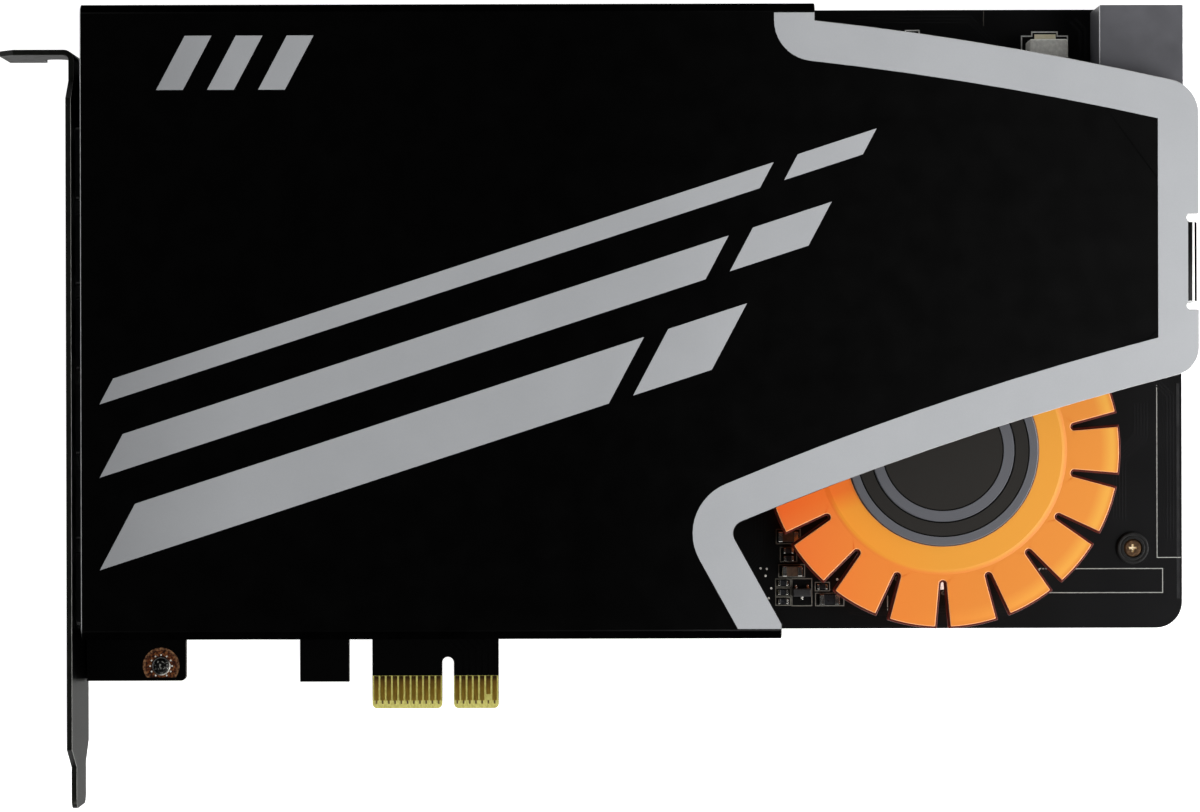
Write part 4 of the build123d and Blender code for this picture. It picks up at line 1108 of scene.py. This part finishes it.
# Traces on the back, with a via at each end: route, number and pitch
back_routes = (
    ([(-10, 7), (-10, 16), (-4, 22), (4, 22)], 8, 0.55),
    ([(5, 7), (5, 14), (12, 21), (12, 30), (26, 44)], 6, 0.55),
    ([(8, 26), (20, 38), (20, 48), (25, 53)], 5, 0.6),
    ([(52, 60), (62, 60), (72, 70), (98, 70), (102, 74), (102, 80)], 6, 0.6),
    ([(52, 68), (58, 74), (70, 74), (76, 80), (90, 80)], 4, 0.6),
    ([(24, 66), (16, 74), (4, 74), (-4, 82), (-16, 82)], 7, 0.6),
    ([(24, 60), (14, 60), (6, 52), (-2, 52)], 5, 0.6),
    ([(-12, 40), (-22, 40), (-30, 32), (-39, 32)], 4, 0.9),
    ([(-12, 56), (-24, 56), (-30, 50), (-39, 50)], 4, 0.9),
    ([(-12, 72), (-20, 80), (-30, 80), (-36, 74), (-40, 74)], 4, 0.9),
    ([(-14, 92), (-24, 92), (-30, 86), (-40, 86)], 3, 0.9),
    ([(40, 78), (40, 90), (46, 96), (54, 96)], 5, 0.7),
    ([(62, 98), (78, 98), (84, 104), (98, 104), (102, 100)], 3, 1.6),
    ([(60, 22), (74, 22), (84, 16), (98, 16), (106, 24), (106, 40)], 4, 0.6),
    ([(58, 30), (64, 30), (68, 34), (68, 52), (62, 58)], 3, 0.8),
    ([(112, 30), (112, 54), (106, 66)], 4, 0.6),
    ([(30, 20), (46, 20), (52, 26), (52, 46), (46, 52)], 5, 0.6),
)
wide_pitch = 1.0
wide_trace = 0.9
thin_trace = 0.26
end_via_share = 1.4
end_via_back = back_z - trace_depth * end_via_share
back_traces = Shape()
back_vias = Shape()
for route, count, pitch in back_routes:
    width = thin_trace if pitch < wide_pitch else wide_trace
    for lane in bus(back_traces, route, count, pitch, width, back_z, trace_back):
        for x, y in (lane[0], lane[-1]):
            back_vias.ring(x, y, 0.14, 0.34, back_z, end_via_back, 10)
back_traces.piece("back_traces", trace)

# Vias strewn over the back, at about a third of a grid's places
strewn_share = 0.33
strewn_wander = 1.4
scatter = random.Random(7)
for x in range(-38, 116, 4):
    for y in range(17, 110, 4):
        if scatter.random() < strewn_share:
            via_x = x + scatter.uniform(-strewn_wander, strewn_wander)
            via_y = y + scatter.uniform(-strewn_wander, strewn_wander)
            back_vias.ring(via_x, via_y, 0.13, 0.32, back_z, trace_back - via_rise, 10)
back_vias.piece("back_vias", tin)

# Printed outlines on the back
jack_outline_half = 6.55
back_frames = [(-57.2, -42.2, line - jack_outline_half, line + jack_outline_half) for line in jack_lines]
back_frames += [(103.3, 117.2, 91.2, 99.2), (101.2, 106.3, 78.4, 91.0)]
back_prints = Shape()
for sides in back_frames:
    back_prints.frame(sides, silk_width, back_z, silk_back)
# Groups of small parts: first place, columns, rows and steps; each part has a printed hook on two sides
rear_groups = ((26, 55, 6, 6, 3.6, 3.2), (-8, 36, 3, 8, 4, 6), (56, 84, 8, 3, 4, 3))
hook_half = 1.1
hook_near = 0.42
hook_far = 0.75
for first_x, first_y, columns, rows, step_x, step_y in rear_groups:
    for row in range(rows):
        for column in range(columns):
            x = first_x + column * step_x
            y = first_y + row * step_y
            for sign in (1, -1):
                near, far = y + sign * hook_near, y + sign * hook_far
                left, right = x - hook_half, x + hook_half
                hook = [(left, near), (left, far), (right, far), (right, near)]
                back_prints.line(hook, silk_width, back_z, silk_back)
for x, y in standoff_places:
    back_prints.ring(x, y, standoff_ring, standoff_ring + silk_width, back_z, silk_back, ring_sides)
back_prints.piece("back_outlines", silk_behind)

# Marks on the capacitors' tops: a dark segment on the mounted ones, a cross on the tall ones
mark_low = -0.15
mark_high = -0.12
segment_radius = 2.5
segment_start = 110
segment_sweep = 140
segment_steps = 14
cross_half = 2.4
cross_width = 0.1
can_marks = Shape()
mounted_top = corner("coupling_capacitors", 1)[2]
for x, y in coupling_places:
    segment = arc(x, y, segment_radius, segment_start, segment_sweep, segment_steps)
    can_marks.prism(segment, mounted_top + mark_low, mounted_top + mark_high)
filter_top = corner("filter_capacitors", 1)[2]
for x, y in filter_places:
    for half_x, half_y in ((cross_half, cross_width), (cross_width, cross_half)):
        can_marks.box(*around(x, y, half_x, half_y), filter_top + mark_low, filter_top + mark_high)
can_marks.piece("can_marks", mark_black)

# Stage, light and camera
floor_white = 0.9
floor_reach = 3000.0
floor_gap = 0.6


def floor_look():
    # A pale floor that shows white to the camera and in reflections, and keeps the shadow.
    look = Look("floor", 0.7, 0.0, 0.2)
    look.colour(look.mottled(look.noise(90.0, 3.0), grey(236), grey(242)))
    rays = look.add("ShaderNodeLightPath").outputs
    seen = rays["Is Camera Ray"]
    for kind in ("Is Glossy Ray", "Is Transmission Ray"):
        seen = look.maths("ADD", seen, rays[kind])
    look.shader.inputs["Emission Color"].default_value = even(1.0)
    look.join(look.span(seen, 0.0, 1.0, 0.0, floor_white), look.shader.inputs["Emission Strength"])
    return look.material


floor_z = cad_box[0].z - floor_gap * MM
floor_mesh = bpy.data.meshes.new("floor")
floor_corners = [(x * MM, y * MM, floor_z) for x, y in rectangle(*around(0, 0, floor_reach, floor_reach))]
floor_mesh.from_pydata(floor_corners, [], [(0, 1, 2, 3)])
floor = placed("floor", floor_mesh)
floor_mesh.materials.append(floor_look())

# Light from the world: its level at the horizon and overhead, the heights of these, and the left side's share
horizon_level = 1.0
zenith_level = 0.03
horizon_height = 0.35
zenith_height = 0.8
left_share = 0.45


def make_world():
    # White at the horizon and dark overhead, brighter on the right.
    # Full white where the camera looks past the floor.
    world = bpy.data.worlds.new("studio")
    bpy.context.scene.world = world
    world.use_nodes = True
    sky = Graph(world.node_tree, "Generated")
    height = sky.span(sky.axis("Z"), horizon_height, zenith_height, horizon_level, zenith_level)
    side = sky.span(sky.axis("X"), -1.0, 1.0, left_share, 1.0)
    seen = sky.add("ShaderNodeLightPath").outputs["Is Camera Ray"]
    level = sky.maths("MAXIMUM", seen, sky.maths("MULTIPLY", height, side))
    background = world.node_tree.nodes["Background"]
    background.inputs["Color"].default_value = even(1.0)
    sky.join(level, background.inputs["Strength"])


make_world()

# Where the lamps point, in metres, as their places and sizes are
lamp_target = Vector((0.05, 0.045, 0.0))


def softbox(name, place, size, power):
    lamp = bpy.data.lights.new(name, "AREA")
    lamp.shape = "RECTANGLE"
    lamp.size = size[0]
    lamp.size_y = size[1]
    lamp.energy = power
    holder = placed(name, lamp)
    holder.location = place
    holder.rotation_euler = (lamp_target - Vector(place)).to_track_quat("-Z", "Y").to_euler()


softbox("key_right", place=(0.42, -0.12, 0.36), size=(0.4, 0.4), power=2.7)
softbox("rim_right", place=(0.85, 0.02, 0.14), size=(0.7, 0.06), power=2.5)
softbox("fill_left", place=(-0.55, 0.12, 0.5), size=(0.5, 0.5), power=0.5)
softbox("front", place=(0.05, -0.6, 0.45), size=(0.7, 0.3), power=1.2)

# The camera looks straight down, from this far above the board's face, and is turned by a hair.
camera_x = 24.55
camera_y = 48.57
camera_distance = 580.0
camera_turn = -0.0025
sensor_width = 36.0
lens_length = 108.23
camera_data = bpy.data.cameras.new("camera")
camera_data.sensor_width = sensor_width
camera_data.lens = lens_length
camera = placed("camera", camera_data)
camera.location = (camera_x * MM, camera_y * MM, (face_z + camera_distance) * MM)
camera.rotation_euler = (0.0, 0.0, camera_turn)
bpy.context.scene.camera = camera
bpy.context.scene.view_settings.view_transform = "Standard"
